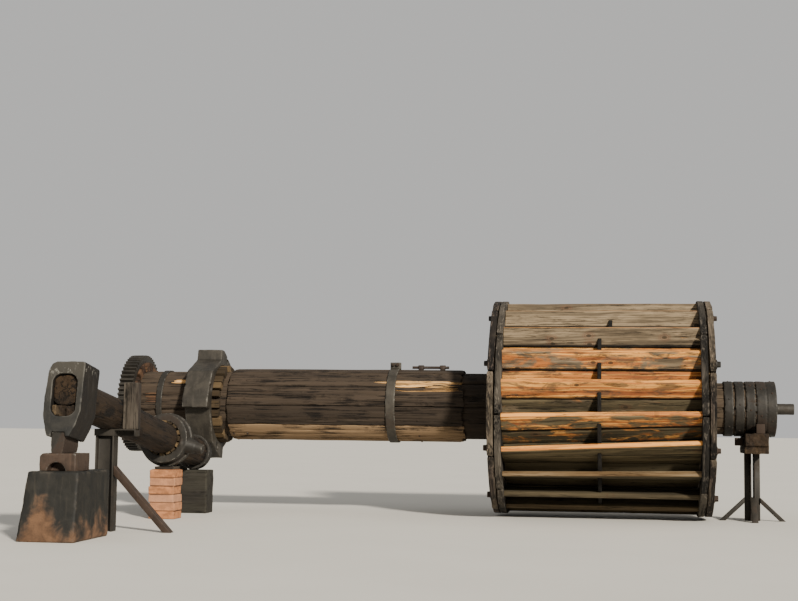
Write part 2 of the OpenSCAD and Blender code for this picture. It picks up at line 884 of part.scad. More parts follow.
module helve_stand_post() {
    top = bar_top - bar_h;
    color("#3c3b36") at_floor() translate([helve_x, stand_y, 0]) difference() {
        box([-hpost_w / 2, -bar_d / 2, 0], [hpost_w / 2, bar_d / 2, top]);
        box([-hpost_w / 2 + hpost_t, -bar_d / 2 - 1, -1],
            [hpost_w / 2 - hpost_t, -hpost_t / 2, top + 1]);
        box([-hpost_w / 2 + hpost_t, hpost_t / 2, -1],
            [hpost_w / 2 - hpost_t, bar_d / 2 + 1, top + 1]);
    }
}

module helve_stand_bar() {
    color("#403d37") at_floor() difference() {
        box([bar_left, stand_y - bar_d / 2, bar_top - bar_h],
            [bar_left + bar_len, stand_y + bar_d / 2, bar_top]);
        box([helve_x + hpost_w / 2 + 4, stand_y - bar_d / 2 - 1, bar_top - bar_h - 1],
            [bar_left + bar_len - 12, stand_y + bar_d / 2 - 12, bar_top - 12]);
    }
}

module helve_guide() {
    x = helve_x + helve_r + 3;
    color("#57544d") at_floor() difference() {
        box([x, stand_y - guide_d / 2, bar_top], [x + guide_w, stand_y + guide_d / 2,
            bar_top + guide_h]);
        box([x + 30, stand_y - guide_d / 2 + 26, bar_top - 1], [x + guide_w - 14,
            stand_y + guide_d / 2 + 1, bar_top + guide_h + 1]);
        box([x + 12, stand_y - guide_d / 2 - 1, bar_top - 1], [x + 30,
            stand_y - guide_d / 2 + 14, bar_top + guide_h + 1]);
    }
}

// Two strips side by side that rake from the post to the floor
module helve_brace() {
    from = helve_x + hpost_w / 2;
    run = norm([hbrace_z, hbrace_reach]);
    color("#453c35") at_floor() for (s = [-1, 1]) {
        difference() {
            translate([from, stand_y + s * (hbrace_w + hbrace_gap) / 2, hbrace_z])
                rotate([0, atan2(hbrace_z, hbrace_reach), 0])
                translate([-hbrace_t, -hbrace_w / 2, -hbrace_t])
                cube([run + 2 * hbrace_t, hbrace_w, hbrace_t]);
            translate([from, stand_y, 0]) {
                box([-run, -hbrace_reach, -2 * hbrace_z], [2 * run, hbrace_reach, 0]);
                box([-run, -hbrace_reach, -1], [0, hbrace_reach, 2 * hbrace_z]);
            }
        }
    }
}

module brick_pile() {
    step = brick_h + mortar_h;
    color("#a5563c") at_floor() translate([helve_x, helve_y + 45, 0])
        for (i = [0 : brick_courses - 1]) {
        translate([7 * sin(i * 100), 5 * sin(i * 210), i * step]) rotate([0, 0, 1.6 * sin(i * 130)])
            translate([-brick_l / 2, -brick_d / 2, 0]) cube([brick_l, brick_d, brick_h]);
        translate([-brick_l / 2 + 16, -brick_d / 2 + 16, i * step + brick_h - 1])
            cube([brick_l - 32, brick_d - 32, mortar_h + (i == brick_courses - 1 ? 1 : 2)]);
    }
}

module brick_shim() {
    color("#6a6155") at_floor() translate([helve_x - 80, helve_y - 60, hurst_rest_z - shim_t])
        cube([180, 220, shim_t]);
}

module tail_block() {
    color("#3b3a33") at_floor() translate([helve_x - tail_block_l / 2, tail_y - tail_block_d / 2, 0])
        difference() {
            cube([tail_block_l, tail_block_d, tail_rest_z]);
            translate([0, 0, tail_rest_z - 60]) rotate([0, -50, 0]) translate([-200, -1, -1])
                cube([200, tail_block_d + 2, 200]);
        }
}

shaft_log();
shaft_cladding();
strap_hoop();
strap_bolts();
tie_rod();
cam_ring();
cam_wedges();
spur_gear();
gear_wedges();
left_band();
gudgeons();
neck_hoops();
neck_keys();
rim_outer();
rim_packing();
rim_inner();
floats();
bucket_brackets();
sole_boards();
arms_across();
arms_upright();
rim_bolts();
stand_posts();
stand_braces();
saddles();
saddle_chocks();
helve();
hammer_head();
hammer_bit();
eye_wedges();
hurst_ring();
hurst_wedges();
tail_hoop();
anvil();
anvil_block();
helve_stand_post();
helve_stand_bar();
helve_guide();
helve_brace();
brick_pile();
brick_shim();
tail_block();
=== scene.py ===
"""Weathered looks for the packed water wheel, its log shaft and the tail hammer it drives."""
import math
from typing import NamedTuple

import bmesh
import bpy
import numpy as np
from bpy.props import FloatProperty, FloatVectorProperty, IntProperty, PointerProperty
from mathutils import Matrix, Vector


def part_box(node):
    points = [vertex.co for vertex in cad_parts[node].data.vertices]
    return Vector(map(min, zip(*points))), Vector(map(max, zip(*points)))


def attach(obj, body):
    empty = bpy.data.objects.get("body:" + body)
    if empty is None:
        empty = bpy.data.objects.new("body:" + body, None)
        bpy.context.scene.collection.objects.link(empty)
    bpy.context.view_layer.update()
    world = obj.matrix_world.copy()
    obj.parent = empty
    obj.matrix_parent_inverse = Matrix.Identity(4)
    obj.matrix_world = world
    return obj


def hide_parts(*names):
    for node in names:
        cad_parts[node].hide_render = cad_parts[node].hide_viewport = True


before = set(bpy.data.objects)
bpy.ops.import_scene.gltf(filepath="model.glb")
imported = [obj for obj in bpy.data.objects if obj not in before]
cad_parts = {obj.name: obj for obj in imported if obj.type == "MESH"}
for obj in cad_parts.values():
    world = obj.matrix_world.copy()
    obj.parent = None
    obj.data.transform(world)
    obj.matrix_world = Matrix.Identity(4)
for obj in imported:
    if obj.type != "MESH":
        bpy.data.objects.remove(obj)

bl_info = {
    "name": "Water wheel with a tail hammer",
    "version": (1, 0, 0),
    "blender": (4, 5, 0),
    "location": "View3D > Sidebar > Water wheel",
    "description": "Dresses the packed water wheel in weathered wood, iron and brick",
    "category": "Object",
}

ROTOR, STANDS = "rotor", "stands"
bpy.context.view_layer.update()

# Places read from the frame


def middle(node):
    """Middle of a CAD node's box."""
    low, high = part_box(node)
    return (low + high) / 2


def reach(node, axis):
    """Lowest and highest place of a CAD node along one axis."""
    low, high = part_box(node)
    return low[axis], high[axis]


WHEEL = middle("rim_outer")
SHAFT_Y, SHAFT_Z = WHEEL.y, WHEEL.z
WHEEL_R = (reach("rim_outer", 2)[1] - reach("rim_outer", 2)[0]) / 2
WHEEL_HALF = reach("rim_outer", 0)[1] - WHEEL.x
WHEEL_IN = reach("floats", 0)[1] - WHEEL.x
CLAD_R = (reach("shaft_cladding", 2)[1] - reach("shaft_cladding", 2)[0]) / 2
# Measures of the source that no box shows
BAND_T, NECK_R, HOOP_T = 0.0122, 0.262, 0.017
LOG_R = reach("left_band", 2)[1] - SHAFT_Z - BAND_T
# Where the helve turns in the hurst ring
HELVE_X = middle("brick_shim").x - 0.01
HELVE_Y, HELVE_Z = SHAFT_Y - 1.515, 0.767
# A dressed piece is this much shorter than the place it fills
SLACK = 0.002


# Sizes and colours


def srgb(code):
    """Linear colour of a six-digit sRGB code."""
    parts = [int(code[i:i + 2], 16) / 255 for i in (0, 2, 4)]
    return tuple(p / 12.92 if p <= 0.04045 else ((p + 0.055) / 1.055) ** 2.4 for p in parts)


def length(label, note, default, low=0.0):
    """A length in metres."""
    return FloatProperty(name=label, description=note, default=default, min=low,
                         unit="LENGTH", subtype="DISTANCE", precision=4)


def angle(label, note, degrees):
    """An angle whose default is given in degrees."""
    return FloatProperty(name=label, description=note, default=math.radians(degrees),
                         unit="ROTATION", subtype="ANGLE")


def colour(label, note, code):
    """A colour whose default is a six-digit code."""
    return FloatVectorProperty(name=label, description=note, default=srgb(code), size=3,
                               min=0.0, max=1.0, subtype="COLOR")


def number(label, note, default):
    """A count of like pieces."""
    return IntProperty(name=label, description=note, default=default, min=1)


class WheelSizes(bpy.types.PropertyGroup):
    """Sizes of the wheel's timber"""
    float_count: number("Floats", "Number of floats round the wheel", 21)
    first_float: angle("First float", "Angle of the first float's lip", 184.5)
    float_run: angle("Float run", "Angle a float runs back from lip to sole", 20)
    float_t: length("Float thickness", "Thickness of a float board", 0.056)
    lip_back: length("Lip set-back", "How far the lips lie inside the rim edge", 0.012)
    rim_depth: length("Rim depth", "Depth of the rims", 0.242)
    felloe_t: length("Felloe thickness", "Thickness of one layer of felloes", 0.062)
    packing_t: length("Packing thickness", "Thickness of the packing ring", 0.014)
    packing_back: length("Packing set-back", "How far the packing lies inside the edge", 0.034)
    felloe_count: number("Felloes", "Felloes in one layer", 8)
    board_gap: length("Board gap", "Open joint between two boards", 0.004)
    sole_t: length("Sole thickness", "Thickness of a sole board", 0.032)
    bolt_circle: length("Bolt circle", "Radius on which the rim bolts sit", 0.985)
    bolt_side: length("Bolt side", "Distance of the rim bolts from a middle line", 0.415)
    lean: angle("Lean", "How far the low front floats have slipped, per metre of width", 2.6)
    lean_at: angle("Lean place", "Where round the wheel the floats have slipped most", 201)
    lean_spread: angle("Lean spread", "How far the slipped floats reach", 18)


class ShaftSizes(bpy.types.PropertyGroup):
    """Sizes of the shaft's timber and irons"""
    stave_count: number("Staves", "Cladding staves round the log", 11)
    first_stave: angle("First stave", "Angle of the middle of the first stave", 2)
    stave_t: length("Stave thickness", "Thickness of a cladding stave", 0.031)
    cam_bore: length("Cam bore", "Radius of the bore of the cam ring", 0.412)
    gear_bore: length("Gear bore", "Radius of the bore of the ring gear", 0.44)
    gear_teeth: number("Gear teeth", "Teeth of the ring gear", 60)
    gear_wedges: number("Gear wedges", "Wedges inside the ring gear", 22)
    cam_wedges: number("Cam wedges", "Wedges inside the cam ring", 26)
    hurst_wedges: number("Hurst wedges", "Wedges inside the hurst ring", 16)
    helve_tilt: angle("Helve tilt", "Rise of the helve towards the head", 8.7)


class WoodColours(bpy.types.PropertyGroup):
    """Colours of the timber"""
    sunny: colour("Sunlit board", "Fresh orange wood of the front floats", "ad6932")
    straw: colour("Straw board", "Yellow early wood in the floats", "e4a454")
    rusty: colour("Red board", "Red-brown streaks in the floats", "6d3a24")
    grey: colour("Weathered board", "Grey-brown of the upper floats", "6a5c48")
    # Painted shade and damp: the dark colour of wet wood, also painted on the shaded low floats and on
    # the sole boards
    shade: colour("Wet board", "Dark green-grey of the lower floats", "574d38")
    rim: colour("Rim wood", "Grey-mauve oak of the rims", "1f1a16")
    rim_blue: colour("Inner rim wood", "Blue-grey oak of the inner felloes", "211e1a")
    log: colour("Log wood", "Dark brown of the shaft", "362d24")
    helve: colour("Helve wood", "Reddish brown of the helve", "1d150d")
    wedge: colour("Wedge wood", "Pale split wedges", "342a1c")
    split: colour("Split wood", "Fresh pale wood where a stave has split", "b58a54")
    rotten: colour("Rotten wood", "Crumbling brown of the old wedges", "33241a")
    crack: colour("Crack", "Open checks in old timber", "0a0806")


class IronColours(bpy.types.PropertyGroup):
    """Colours of the metal, brick and stage"""
    casting: colour("Casting", "Grey of the weathered castings", "25221d")
    black: colour("Black iron", "Black paint of hoops and channels", "201d18")
    strap: colour("Strap", "Bare grey of the strap", "36322b")
    worn: colour("Worn edge", "Light grey of the rubbed edges", "5c5a54")
    rust: colour("Rust", "Dark brown rust", "32271f")
    orange: colour("Orange rust", "Orange rust of the anvil block", "6f523b")
    brick: colour("Brick", "Orange red of the bricks", "9a6846")
    mortar: colour("Mortar", "Pale mortar and chips", "857361")
    floor: colour("Floor", "Plain pale floor", "c9c6be")


class CameraPlace(bpy.types.PropertyGroup):
    """Where the camera stands"""
    x: length("Camera X", "Place along the shaft", 1.8524, -100.0)
    y: length("Camera Y", "Place in front of the shaft", -13.2113, -100.0)
    z: length("Camera Z", "Height of the lens", 0.9785)
    yaw: angle("Yaw", "Turn to the left", 8.8639)
    pitch: angle("Pitch", "Tilt upwards", 4.834)
    roll: angle("Roll", "Clockwise turn of the picture", 0.6474)
    lens: FloatProperty(name="Lens", description="Focal length on a 36 mm frame",
                        default=63.704, min=10.0, unit="CAMERA")


# Nodes written as expressions


class Wire:
    """A node socket that takes part in expressions."""

    def __init__(self, graph, socket):
        self.graph, self.socket = graph, socket

    def maths(self, operation, *others):
        return self.graph.add("ShaderNodeMath", {"operation": operation},
                              dict(enumerate((self,) + others)))

    def __add__(self, other):
        return self.maths("ADD", other)

    def __sub__(self, other):
        return self.maths("SUBTRACT", other)

    def __mul__(self, other):
        return self.maths("MULTIPLY", other)

    def __truediv__(self, other):
        return self.maths("DIVIDE", other)

    def __neg__(self):
        return self * -1.0

    def __abs__(self):
        return self.maths("ABSOLUTE")

    def __rsub__(self, other):
        return -self + other

    __radd__, __rmul__ = __add__, __mul__

    def above(self, limit):
        return self.maths("GREATER_THAN", limit)

    def below(self, limit):
        return self.maths("LESS_THAN", limit)

    def sine(self):
        return self.maths("SINE")

    def floor(self):
        return self.maths("FLOOR")

    def part(self, share):
        return self.maths("MODULO", share)

    def ramp(self, low, high):
        """Rises smoothly from 0 at low to 1 at high."""
        return self.graph.add("ShaderNodeMapRange", {"interpolation_type": "SMOOTHSTEP"},
                              {0: self, 1: low, 2: high, 3: 0.0, 4: 1.0})

    def split(self):
        node = self.graph.add("ShaderNodeSeparateXYZ", {}, {0: self}).socket.node
        return [Wire(self.graph, out) for out in node.outputs]


class Graph:
    """Adds nodes to one tree."""

    def __init__(self, tree):
        self.tree = tree

    def add(self, kind, settings, sockets, out=0):
        """One node: its type, its settings, and the values or links of its sockets."""
        node = self.tree.nodes.new(kind)
        for key, value in settings.items():
            setattr(node, key, value)
        for key, value in sockets.items():
            if isinstance(value, Wire):
                self.tree.links.new(value.socket, node.inputs[key])
            else:
                node.inputs[key].default_value = value
        return Wire(self, node.outputs[out]) if len(node.outputs) else Wire(self, None)

    def attribute(self, name, out="Fac"):
        return self.add("ShaderNodeAttribute", {"attribute_name": name}, {}, out)

    def vector(self, operation, a, b):
        return self.add("ShaderNodeVectorMath", {"operation": operation}, {0: a, 1: b})

    def joined(self, x, y, z):
        return self.add("ShaderNodeCombineXYZ", {}, {0: x, 1: y, 2: z})

    def place(self):
        """Coordinates of the object itself."""
        return self.add("ShaderNodeTexCoord", {}, {}, "Object")

    def noise(self, place, scale, detail, roughness=0.55, distortion=0.0, shift=0.0):
        """Noise whose cells are 1 / scale long, along all axes or along each."""
        scale = scale if isinstance(scale, tuple) else (scale,) * 3
        scaled = self.vector("MULTIPLY", place, scale)
        if shift:
            scaled = self.vector("ADD", scaled, (shift, shift * 1.7, shift * 0.6))
        return self.add("ShaderNodeTexNoise", {}, {
            "Vector": scaled, "Scale": 1.0, "Detail": detail, "Roughness": roughness,
            "Distortion": distortion})

    def blend(self, share, a, b, way="MIX"):
        """Colour a where share is 0 and colour b where it is 1."""
        a, b = (c if isinstance(c, Wire) else tuple(c)[:3] + (1.0,) for c in (a, b))
        return self.add("ShaderNodeMix", {"data_type": "RGBA", "blend_type": way},
                        {0: share, 6: a, 7: b}, 2)

    def coat(self, paint, *layers):
        """Lays colours over one another; each layer is a share and a colour."""
        for share, top in layers:
            paint = self.blend(share, paint, top)
        return paint

    def shaded(self, paint, tone, low, high):
        """The colour, darker or lighter by the tone of the board."""
        shade = self.add("ShaderNodeMapRange", {}, {0: tone, 1: 0.0, 2: 1.0, 3: low, 4: high})
        return self.blend(1.0, paint, self.joined(shade, shade, shade), "MULTIPLY")

    def cracks(self, grain, scale, width, where):
        """Thin lines that open along the grain."""
        line = abs(self.noise(grain, scale, 6.0, 0.6, 0.2, 3.1) - 0.5)
        return (1.0 - line.ramp(0.0, width)) * where

    def knots(self, grain, cells, share, heart_end, rings_end, waves, kind="3D"):
        """Hearts of the knots in a share of the cells, and the rings round them."""
        near = self.add("ShaderNodeTexVoronoi", {"voronoi_dimensions": kind},
                        {"Vector": self.vector("MULTIPLY", grain, cells), "Scale": 1.0})
        picked = Wire(self, near.socket.node.outputs["Color"]).split()[0].above(1.0 - share)
        rings = ((near * waves).sine() * 0.5 + 0.5) * (1.0 - near.ramp(0.2, rings_end))
        return (1.0 - near.ramp(0.1, heart_end)) * picked, rings * picked

    def wander(self, place, scale, size):
        """An offset of up to half the size, one way or the other."""
        noise = self.add("ShaderNodeTexNoise", {}, {
            "Vector": self.vector("MULTIPLY", place, scale), "Scale": 1.0, "Detail": 2.0}, 1)
        return self.vector("MULTIPLY", self.vector("SUBTRACT", noise, (0.5, 0.5, 0.5)), size)

    def geo(self, kind, **sockets):
        """A geometry node; an underscore stands for the space in a socket's name."""
        named = {key.replace("_", " "): value for key, value in sockets.items()}
        return self.add("GeometryNode" + kind, {}, named)

    def named(self, name, kind="FLOAT"):
        """A named attribute as a field."""
        return self.add("GeometryNodeInputNamedAttribute", {"data_type": kind}, {"Name": name})

    def store(self, geometry, name, value, domain="POINT", kind="FLOAT"):
        """The geometry with one more named attribute."""
        return self.add("GeometryNodeStoreNamedAttribute",
                        {"data_type": kind, "domain": domain},
                        {"Geometry": geometry, "Name": name, "Value": value})

    def random(self, low, high, seed, index=None):
        """A random number, by the place in the list or by another index."""
        sockets = {2: low, 3: high, "Seed": seed}
        if index is not None:
            sockets["ID"] = index
        return self.add("FunctionNodeRandomValue", {"data_type": "FLOAT"}, sockets, 1)

    def join(self, *parts):
        """Several geometries as one."""
        node = self.tree.nodes.new("GeometryNodeJoinGeometry")
        for part in parts:
            self.tree.links.new(part.socket, node.inputs[0])
        return Wire(self, node.outputs[0])


def new_finish(name):
    """An empty material and the graph of its nodes."""
    material = bpy.data.materials.new(name)
    material.use_nodes = True
    material.node_tree.nodes.clear()
    return material, Graph(material.node_tree)


def close_finish(graph, colour_wire, roughness, height, depth, metallic, specular):
    """Ends a material in one Principled shader with a bump."""
    bump = graph.add("ShaderNodeBump", {}, {"Strength": 1.0, "Distance": depth,
                                            "Height": height})
    shader = graph.add("ShaderNodeBsdfPrincipled", {}, {
        "Base Color": colour_wire, "Roughness": roughness, "Metallic": metallic,
        "Specular IOR Level": specular, "Normal": bump})
    graph.add("ShaderNodeOutputMaterial", {}, {"Surface": shader})


def tint(base, factor):
    """The same colour, lighter or darker."""
    return tuple(min(1.0, c * factor) for c in base[:3])


def wood_finish(name, base, light, dark, bleached, bleach=0.45, checks=0.016, knots=0.0,
                fibre_scale=1.0, depth=0.0022, pull=0.7, stripes=(0.36, 0.66)):
    """Old timber whose fibres follow the piece's grain."""
    material, graph = new_finish(name)
    grain = graph.attribute("grain", "Vector")
    tone, edge = graph.attribute("tone"), graph.attribute("edge")
    fibre = graph.noise(grain, (2.6, 95 * fibre_scale, 95 * fibre_scale), 5.0, 0.62)
    streak = graph.noise(grain, (0.8, 15 * fibre_scale, 15 * fibre_scale), 4.0, 0.6, 0.8)
    patch = graph.noise(grain, (1.7, 4.5, 4.5), 3.0, 0.55, 0.5, 7.3)
    stain = graph.noise(grain, (3.1, 7.0, 7.0), 5.0, 0.65, 0.3, 21.0)
    split = graph.cracks(grain, (0.7, 19 * fibre_scale, 19 * fibre_scale), checks,
                         stain.ramp(0.44, 0.6))
    paint = graph.coat(
        graph.blend(streak.ramp(*stripes), base, light),
        ((patch + (tone - 0.5) * pull).ramp(0.42, 0.62) * bleach, bleached),
        (fibre.ramp(0.5, 0.78) * 0.55, dark),
        (stain.ramp(0.56, 0.74) * 0.5, dark),
        (edge.ramp(0.58, 0.85) * patch.ramp(0.5, 0.62) * 0.4, bleached))
    height = fibre * 0.6 + streak * 0.8 - split * 1.6
    if knots:
        heart, rings = graph.knots(grain, (4.2, 8.5, 8.5), knots, 0.2, 0.46, 70.0)
        paint = graph.coat(paint, (rings * 0.4, dark), (heart * 0.9, tint(dark, 0.45)))
        height = height + heart * 0.5
    paint = graph.blend(split * 0.92, paint, bpy.context.scene.wheel_wood.crack)
    paint = graph.shaded(paint, tone, 0.55, 1.3)
    close_finish(graph, paint, 0.98 - 0.25 * fibre.ramp(0.6, 0.3), height, depth, 0.0, 0.25)
    return material


def iron_finish(name, base, worn, rust, rust_share=0.3, drip=0.0):
    """Weathered casting or wrought iron: blotches, rust and rubbed edges."""
    material, graph = new_finish(name)
    place, edge = graph.place(), graph.attribute("edge")
    blotch = graph.noise(place, 6.0, 6.0, 0.6, 0.4)
    speck = graph.noise(place, 75.0, 4.0, 0.6)
    cloud = graph.noise(place, 2.3, 4.0, 0.55, 0.0, 11.0)
    run = graph.noise(place, (26.0, 26.0, 2.2), 4.0, 0.6, 0.3, 5.0)
    chips = graph.noise(place, 22.0, 5.0, 0.7, 0.0, 17.0).ramp(0.5, 0.6)
    begin = 0.66 - rust_share * 0.3
    rusty = (cloud * 0.7 + blotch * 0.3 + speck * 0.12).ramp(begin, begin + 0.08)
    paint = graph.coat(
        graph.blend(blotch.ramp(0.36, 0.64), tint(base, 0.66), tint(base, 1.22)),
        (run.ramp(0.5, 0.75) * (0.25 + drip), tint(base, 1.75)),
        (rusty * min(1.0, 0.35 + rust_share), rust),
        (speck.ramp(0.6, 0.78) * 0.35, tint(base, 0.4)),
        (edge.ramp(0.6, 0.9) * chips * 0.6, worn),
        ((1.0 - edge.ramp(0.2, 0.46)) * 0.7, tint(base, 0.35)))
    close_finish(graph, paint, 0.57 + rusty * 0.25 + blotch * 0.1, speck * 0.5 + blotch, 0.0012, 0.25,
                 0.4)
    return material


# Meshes


def whole_number_noise(cells, seed):
    """A fixed number from 0 to 1 for each cell."""
    turned = np.sin(cells @ np.array([127.1, 311.7, 74.7]) + seed * 19.19) * 43758.5453
    return turned - np.floor(turned)


def ripple(x, y, z, seed):
    """Smooth noise from 0 to 1."""
    points = np.stack(np.broadcast_arrays(x, y, z), -1).astype(float)
    base = np.floor(points)
    share = points - base
    share = share * share * (3 - 2 * share)
    total = 0.0
    for corner in np.ndindex(2, 2, 2):
        corner = np.array(corner)
        weight = np.prod(np.where(corner == 1, share, 1 - share), axis=-1)
        total = total + weight * whole_number_noise(base + corner, seed)
    return total


def chance(seed, *cell):
    """A fixed number from 0 to 1 for one cell."""
    return whole_number_noise(np.array(cell, float), seed)


class Stack:
    """Gathers boards and logs into one mesh, with the grain and tone of each."""

    def __init__(self):
        self.points, self.grains, self.tones, self.faces, self.count = [], [], [], [], 0

    def tube(self, points, grain, tone):
        """Adds rings of points, one after the other, closed at both ends."""
        rings, size = points.shape[:2]
        index = self.count + np.arange(rings * size).reshape(rings, size)
        beside = np.roll(index, -1, axis=1)
        quads = np.stack([index[:-1], beside[:-1], beside[1:], index[1:]], -1)
        self.faces += quads.reshape(-1, 4).tolist()
        self.faces += [index[0, ::-1].tolist(), index[-1].tolist()]
        self.points.append(points.reshape(-1, 3))
        self.grains.append(grain.reshape(-1, 3))
        self.tones.append(np.full(rings * size, tone, float))
        self.count += rings * size


def read(items, name, width, kind=float):
    """One property of all items of a mesh as rows of numbers."""
    values = np.zeros(len(items) * width, kind)
    items.foreach_get(name, values)
    return values.reshape(-1, width)


def coordinates(mesh):
    """Places of all vertices."""
    return read(mesh.vertices, "co", 3)


def set_values(mesh, name, values):
    """Writes a point attribute: numbers, or rows of three as vectors."""
    values = np.asarray(values, np.float32)
    kind, key = ("FLOAT", "value") if values.ndim == 1 else ("FLOAT_VECTOR", "vector")
    layer = mesh.attributes.get(name) or mesh.attributes.new(name, kind, "POINT")
    layer.data.foreach_set(key, values.ravel())


def get_values(mesh, name):
    """Reads a point attribute of numbers."""
    return read(mesh.attributes[name].data, "value", 1, np.float32)[:, 0]


def turn_outwards(mesh, sharp):
    """Makes all faces of closed shells point outwards. The shading is smooth below the
    angle of sharp edges; with no angle it stays flat."""
    bm = bmesh.new()
    bm.from_mesh(mesh)
    bmesh.ops.recalc_face_normals(bm, faces=bm.faces)
    bm.to_mesh(mesh)
    bm.free()
    if sharp is not None:
        smooth_below(mesh, sharp)


def smooth_below(mesh, degrees):
    """Shades the mesh smooth, apart from edges sharper than the angle."""
    mesh.shade_smooth()
    mesh.set_sharp_from_angle(angle=math.radians(degrees))


def around(mesh, start, of_edge):
    """Sums what the edges bring to the vertices at their ends."""
    total, number_of = start.astype(float), np.zeros(len(mesh.vertices))
    a, b = read(mesh.edges, "vertices", 2, int).T
    for here, there in ((a, b), (b, a)):
        np.add.at(total, here, of_edge(here, there))
        np.add.at(number_of, here, 1)
    return total, number_of


def curvature(mesh):
    """0.5 on flats, towards 1 on outer edges and 0 in inner corners."""
    points = coordinates(mesh)
    normals = read(mesh.vertex_normals, "vector", 3)

    def bend(here, there):
        way = points[there] - points[here]
        way /= np.maximum(np.linalg.norm(way, axis=1, keepdims=True), 1e-9)
        return -np.sum(normals[here] * way, axis=1)

    total, number_of = around(mesh, np.zeros(len(points)), bend)
    return np.clip(0.5 + 1.6 * total / np.maximum(number_of, 1), 0, 1)


def soften(mesh, values):
    """Averages vertex values with their neighbours."""
    total, number_of = around(mesh, values, lambda here, there: values[there])
    return total / (number_of + 1)


def dress(obj, body, look, replaced=(), grain=None, tone=0.5):
    """Gives a finished piece its material and body, and hides what it stands for."""
    mesh = obj.data
    mesh.materials.clear()
    mesh.materials.append(finish(look))
    points = coordinates(mesh)
    plain = {"grain": points if grain is None else points @ grain,
             "tone": np.full(len(points), tone), "edge": np.full(len(points), 0.5)}
    for name, values in plain.items():
        if name not in mesh.attributes:
            set_values(mesh, name, values)
    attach(obj, body)
    if replaced:
        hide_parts(*replaced)


def new_object(name, mesh):
    """An object in the scene."""
    obj = bpy.data.objects.new(name, mesh)
    bpy.context.scene.collection.objects.link(obj)
    return obj


def stack_object(name, stack, sharp=38):
    """Turns a stack into an object."""
    mesh = bpy.data.meshes.new(name)
    mesh.from_pydata(np.concatenate(stack.points).tolist(), [], stack.faces)
    mesh.update()
    turn_outwards(mesh, sharp)
    set_values(mesh, "grain", np.concatenate(stack.grains))
    set_values(mesh, "tone", np.concatenate(stack.tones))
    return new_object(name, mesh)


def bake_modifiers(obj):
    """Turns the object with its modifiers into a plain mesh."""
    bpy.context.view_layer.update()
    result = bpy.data.meshes.new_from_object(
        obj.evaluated_get(bpy.context.evaluated_depsgraph_get()))
    obj.modifiers.clear()
    old = obj.data
    obj.data = result
    if old.users == 0:
        bpy.data.meshes.remove(old)
    return obj


def joined_copy(name, node):
    """A copy of a CAD node, with its flat faces joined again."""
    bm = bmesh.new()
    bm.from_mesh(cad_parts[node].data)
    bmesh.ops.remove_doubles(bm, verts=bm.verts, dist=2e-5)
    bmesh.ops.dissolve_limit(bm, angle_limit=math.radians(0.6), verts=bm.verts,
                             edges=bm.edges)
    bmesh.ops.recalc_face_normals(bm, faces=bm.faces)
    mesh = bpy.data.meshes.new(name)
    bm.to_mesh(mesh)
    bm.free()
    return new_object(name, mesh)


# Edges sharper than this many degrees are bevelled, and then shaded as sharp
BEVELLED_ABOVE, SHARP_ABOVE = 28, 40


def bevelled_copy(name, node, width, segments):
    """A CAD node with rounded edges."""
    obj = joined_copy(name, node)
    bevel = obj.modifiers.new("round", "BEVEL")
    bevel.width, bevel.segments, bevel.limit_method = width, segments, "ANGLE"
    bevel.angle_limit = math.radians(BEVELLED_ABOVE)
    bake_modifiers(obj)
    smooth_below(obj.data, SHARP_ABOVE)
    return obj


class Wear(NamedTuple):
    """How a surface has worn. Lengths are in metres."""
    cell: float                 # size of the remeshed cells
    smoothing: int              # rounds of smoothing, which round the edges off
    dents: float                # depth of the dents
    dent_size: float
    pits: float                 # depth of the pits
    seed: float
    along_grain: bool = False   # dents are drawn out along the grain


ALONG_GRAIN = (0.12, 1.0, 1.0)


def worn_copy(name, node, wear, grain=None):
    """A CAD node as one worn surface."""
    obj = joined_copy(name, node)
    bpy.context.view_layer.update()
    remesh = obj.modifiers.new("cells", "REMESH")
    remesh.mode, remesh.voxel_size = "VOXEL", wear.cell
    relax = obj.modifiers.new("relax", "SMOOTH")
    relax.factor, relax.iterations = 0.5, wear.smoothing
    bake_modifiers(obj)
    mesh = obj.data
    points = coordinates(mesh)
    edge = soften(mesh, soften(mesh, curvature(mesh)))
    local = points @ grain * ALONG_GRAIN if wear.along_grain else points
    x, y, z = (local / wear.dent_size).T
    seed = wear.seed
    lift = wear.dents * (ripple(x, y, z, seed) - 0.5) * 2
    lift += wear.pits * (ripple(x * 5, y * 5, z * 5, seed + 3) - 0.5) * 2
    rubbed = np.clip(edge - 0.55, 0, 1) * ripple(x * 2, y * 2, z * 2, seed + 9)
    lift -= wear.dents * 1.5 * rubbed
    points += read(mesh.vertex_normals, "vector", 3) * lift[:, None]
    mesh.vertices.foreach_set("co", points.ravel())
    mesh.update()
    mesh.shade_smooth()
    set_values(mesh, "edge", np.clip(0.5 + (edge - 0.5) * 1.8, 0, 1))
    return obj


class Piece(NamedTuple):
    """A CAD node that is dressed where it stands: worn if it has a wear, else bevelled.
    The grain is the order of the axes, first the one along the fibres."""
    name: str
    node: str
    look: str
    slot: str
    bevel: float = 0.003
    segments: int = 2
    wear: Wear = None
    grain: tuple = (0, 1, 2)
    tone: float = 0.5


def take_over(piece, body, turned=None):
    """Dresses a piece. A matrix can take the place of the order of its axes."""
    grain = np.eye(3)[:, list(piece.grain)] if turned is None else turned
    if piece.wear:
        obj = worn_copy(piece.name, piece.node, piece.wear, grain)
    else:
        obj = bevelled_copy(piece.name, piece.node, piece.bevel, piece.segments)
    dress(obj, body, piece.look, [piece.node], grain, piece.tone)


# Boards and logs


